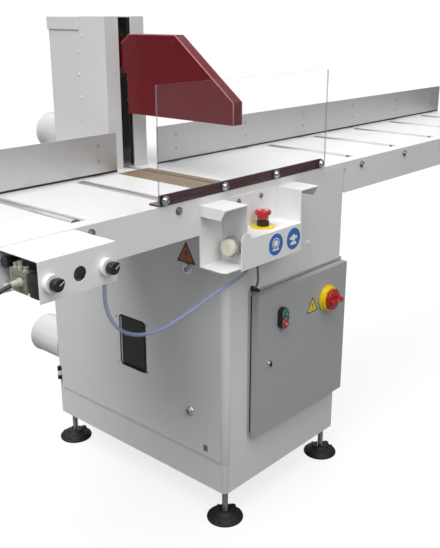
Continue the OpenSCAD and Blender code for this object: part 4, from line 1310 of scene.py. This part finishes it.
@dataclass
class Shield:
    """Clear sheet on its angle, with four dome bolts."""

    bolts: tuple[float, ...] = (-453, -260.67, -68.33, 124)
    bolt_face: float = -355.0
    bolt_level: float = 933.0

    def build(self) -> None:
        """Finish the sheet, its thick edges and its bolts."""
        dress("shield", CLEAR)
        dress_apart("shield", CLEAR_EDGE, lambda middle, normal: abs(normal.y) < 0.5)
        dress("shield_bracket", BURGUNDY_DARK, 0.6)
        for number, x in enumerate(self.bolts, 1):
            place = at(x, self.bolt_face, self.bolt_level)
            Solid(place, Facing.FRONT).turned(
                [(8.4, 0), (8.6, 0.9), (8.2, 3.4), (6.6, 6.0), (4.2, 7.4), (3.2, 7.6), (3.2, 5), (0, 5)], 36
            ).fit(f"shield_bolt_{number}", "frame", BRIGHT_STEEL, "zinc_steel")
            Solid(place, Facing.FRONT).ring(circle(11, 36), circle(8, 36), 0, 1.2).fit(
                f"shield_washer_{number}", "frame", BRIGHT_STEEL, "zinc_steel", 0.2)
        log.info("shield: %d bolts", len(self.bolts))


# --- two-hand control


@dataclass
class ControlTray:
    """Folded tray with two palm buttons and the emergency stop."""

    stop: Pair = (-157, -385)
    head: float = 42.9
    palm: Pair = (-392, 800)
    palm_sides: tuple[tuple[str, Facing, float, float], ...] = (
        ("left", Facing.LEFT, -275, -282), ("right", Facing.RIGHT, -57, -50))
    shelf: float = 822.0
    front: float = -433.0
    discs: Pair = (-166, -96)

    def fit_stop(self) -> None:
        """Mushroom head with a ring of arrows, over a black collar and a yellow disc."""
        x, y = self.stop
        top = self.head
        dress("estop_base", YELLOW_PLASTIC, 0.4)
        dress_apart("estop_base", BLACK_PLASTIC, lambda middle, normal: middle.z > (self.shelf + 3.2) / 1000)
        Solid(at(x, y, self.shelf)).turned(
            [(7.9, -3), (7.9, 19.4), (12.6, 19.6), (13.6, 20.6), (14.4, 26), (15.6, 29.4), (18.8, 31.4),
             (20, 33.8), (20, 37.2), (18.9, 39.8), (16.4, 41.4), (11, 42.6), (5, top), (0, top)], 56
        ).fit("estop_head", "estop_head", RED_PLASTIC, "red_plastic", stands_for=("estop_button",))
        arrows = Solid(at(x, y, self.shelf + top))
        for k in range(3):
            turn = math.tau * k / 3
            arrows.slab([(r * math.cos(turn + a), r * math.sin(turn + a))
                         for r, angles in ((11.5, (0, 0.3, 0.6, 0.9, 1.2)), (8.5, (1.2, 0.9, 0.6, 0.3, 0)))
                         for a in angles], -0.6, 0.1)
        arrows.fit("estop_arrows", "estop_head", PRINT_WHITE)

    def fit_palms(self) -> None:
        """Domed cream heads in grey collars."""
        y, z = self.palm
        for side, facing, x, wall in self.palm_sides:
            node = f"palm_button_{side}"
            Solid(at(x, y, z), facing).turned(
                [(0, 0), (16, 0), (19.6, 0.4), (19.9, 8), (20, 19.5), (19, 22.6), (15.5, 24.4), (8, 25),
                 (0, 25)], 56
            ).fit(f"palm_head_{side}", node, CREAM_PLASTIC, "cream_plastic", stands_for=(node,))
            Solid(at(wall, y, z), facing).ring(circle(24.6, 48), circle(20.6, 48), -10.5, 1.2).fit(
                f"palm_collar_{side}", "frame", COLLAR_PLASTIC, "black_plastic", 0.5)

    def stick_discs(self) -> None:
        """Two round blue foils, each with a plain white sign."""
        for number, x in enumerate(self.discs, 1):
            place = at(x, self.front, 788)
            Solid(place, Facing.FRONT).slab(circle(28.6, 56), 0, 0.25).fit(
                f"disc_{number}_rim", "frame", PRINT_WHITE)
            Solid(place, Facing.FRONT).slab(circle(27.2, 56), 0.2, 0.35).fit(
                f"disc_{number}_foil", "frame", PRINT_BLUE)
            sign = Solid(place, Facing.FRONT)
            sign.slab(circle(8.2, 32, 0, 2.5), 0.3, 0.5)
            sign.slab(softened([(-13, -15), (13, -15), (9.5, -7), (-9.5, -7)], 3), 0.3, 0.5)
            if number == 1:
                sign.ring(circle(13.5, 40, 0, 3), circle(11.0, 40, 0, 3), 0.3, 0.5)
            else:
                sign.slab(circle(4.2, 24, -11, 2.5), 0.3, 0.5).slab(circle(4.2, 24, 11, 2.5), 0.3, 0.5)
            sign.fit(f"disc_{number}_sign", "frame", PRINT_WHITE)

    def build(self) -> None:
        """Finish the tray and fit its controls."""
        dress("control_tray", TRAY_COAT, 0.6)
        self.fit_stop()
        self.fit_palms()
        self.stick_discs()
        log.info("control tray: emergency stop and palm buttons fitted")


# --- valve cover


@dataclass
class ValveCover:
    """Folded cover with two pointer knobs, and the air valves under it."""

    knobs: tuple[tuple[str, float], ...] = (("left", -845), ("right", -721))
    level: float = 876.0
    face: float = -470.0
    coils: tuple[float, ...] = (-821, -789, -757)
    elbows: Pairs = ((-418, 9), (-402, 17), (-388, 11))

    def fit_knobs(self) -> None:
        """Pointer knobs on round stems."""
        lobe = []
        for k in range(56):
            angle = math.tau * k / 56
            reach = 11.248 * (1 + 0.30 * max(0.0, math.cos(angle - 0.6)) ** 6)
            lobe.append((reach * math.cos(angle), reach * math.sin(angle)))
        for side, x in self.knobs:
            node = f"knob_{side}"
            knob = Solid(at(x, self.face - 12.6, self.level), Facing.FRONT)
            knob.turned([(6, -16), (6, 0), (10.4, 0.2), (11.2, 1.5), (11.2, 6), (0, 6)], 40)
            knob.slab(lobe, 4, 15, 2.2)
            knob.fit(f"pointer_{node}", node, BLACK_PLASTIC, "black_plastic", 0.4, (node,))
            Solid(at(x, self.face - 27.6, self.level), Facing.FRONT).slab(
                [(1.5, -0.4), (10.8, 5.9), (10.0, 7.1), (0.7, 0.8)], -0.2, 0.25).fit(
                f"knob_mark_{side}", node, PRINT_WHITE)

    def fit_valves(self) -> None:
        """Valve body, coils, fittings, a solenoid and a regulator under the cover."""
        for number, x in enumerate(self.coils, 1):
            Solid(at(x, -403, 902)).slab(rounded(20, 30, 2), 0, 9, 1).fit(
                f"valve_coil_{number}", "frame", BLACK_PLASTIC, "black_plastic")
        Solid(at(-821, -430, 866), Facing.FRONT).turned(
            [(6.4, 0), (6.4, 4), (5.4, 4.4), (5.4, 9), (6, 9.4), (6, 11.5), (4, 12), (4, 10), (0, 10)], 28
        ).fit("valve_fitting", "frame", BRASS, "bare_aluminium")
        body = Solid(at(-863, -405, 868), Facing.LEFT)
        body.slab(rounded(46, 40, 2.5), -16, 0.3, 0.8)
        for up in (-12, 0, 12):
            body.slab(rounded(40, 2.4, 1), 0.1, 1.1, 0.3, 0, up)
        body.fit("valve_body", "frame", VALVE_BODY, "bare_aluminium")
        Solid(at(-862, -447, 868), Facing.LEFT).slab(rounded(27, 46, 3), -30, 0.4, 1.2).fit(
            "valve_solenoid", "frame", BLACK_PLASTIC, "black_plastic")
        for number, (y, tall) in enumerate(self.elbows, 1):
            Solid(at(-855, y, 887)).turned(
                [(5.6, 0), (5.6, tall * 0.4), (4.4, tall * 0.45), (4.4, tall * 0.8), (5.2, tall * 0.85),
                 (5.2, tall), (3, tall), (0, tall)], 28
            ).fit(f"valve_elbow_{number}", "frame", PALE_PLASTIC, "bare_aluminium")
        Solid(at(-864, -366, 896), Facing.LEFT).turned(
            [(8, -30), (8, -6), (10.6, -5.4), (11, -4), (11, 0.6), (9.6, 1.8), (0, 1.8)], 40
        ).fit("valve_regulator", "frame", BLACK_PLASTIC, "black_plastic")

    def build(self) -> None:
        """Finish the cover and fit what it carries."""
        dress("valve_cover", TRAY_COAT, 0.5)
        dress("valve_block", ALUMINIUM, 0.6)
        dress_apart("valve_block", TRAY_COAT, lambda middle, normal: middle.z < 0.8505)
        self.fit_knobs()
        self.fit_valves()
        log.info("valve cover: knobs and valves fitted")


# --- drive and dust ports


@dataclass
class Drive:
    """Blade, arm, motor, belt and lift cylinder inside the cabinet."""

    motor: Pair = (190, 590)
    motor_ends: Pair = (-62, 100)
    fins: int = 28

    def fit_fins(self) -> None:
        """Cooling fins round the motor, except along its top."""
        fins = Solid(at(0, *self.motor), Facing.RIGHT)
        for k in range(self.fins):
            angle = math.tau * k / self.fins
            c, s = math.cos(angle), math.sin(angle)
            if s < 0.55:
                fins.slab([(r * c - t * s, r * s + t * c)
                           for r, t in ((79, -1), (85, -0.7), (85, 0.7), (79, 1))], *self.motor_ends)
        fins.fit("motor_fins", "saw_arm", MOTOR_PAINT, "motor_paint")

    def build(self) -> None:
        """Finish the drive."""
        dress("saw_arm", ARM_PAINT, 0.8)
        dress("saw_blade", BLADE_STEEL)
        dress("motor", MOTOR_PAINT, 1.0)
        dress("motor_pulley", BRIGHT_STEEL, 0.4)
        dress("drive_belt", BELT_RUBBER, 0.5)
        dress("lift_cylinder", ALUMINIUM, 0.6)
        dress("lift_rod", BRIGHT_STEEL, 0.4)
        self.fit_fins()
        log.info("drive: motor fins fitted")


@dataclass
class DustPorts:
    """The two round ports at the back."""

    ports: tuple[tuple[str, float, float, float, float], ...] = (
        ("lower", -193, 495, 312, 60), ("upper", -200, 386, 985, 50))

    def build(self) -> None:
        """Finish the ports and roll their ends."""
        dress("dust_ports", WHITE_COAT, 0.5)
        for name, x, y, z, r in self.ports:
            Solid(at(x, y, z), Facing.BACK).hoop(
                [(r - 1.8, -6), (r - 0.2, -6.0), (r + 1.6, -4.6), (r + 2.0, -3), (r + 1.6, -1.4),
                 (r - 0.2, 0), (r - 1.8, 0)]
            ).fit(f"port_bead_{name}", "frame", WHITE_COAT, "white_powder_coat")
        log.info("dust ports: beads rolled")


# --- main


def main() -> None:
    """Build the machine, piece by piece."""
    logging.basicConfig(level=logging.INFO, format="%(name)s: %(message)s")
    studio = Studio()
    studio.camera()
    lines = Lines()
    lines.lay()
    studio.light()
    lines.fit_ends()
    for part in (Cabinet(), Enclosure(), Tables(), Column(), Shield(), ControlTray(), ValveCover(),
                 Drive(), DustPorts()):
        part.build()
        log.info("%s built", type(part).__name__)


if __name__ == "__main__":
    main()
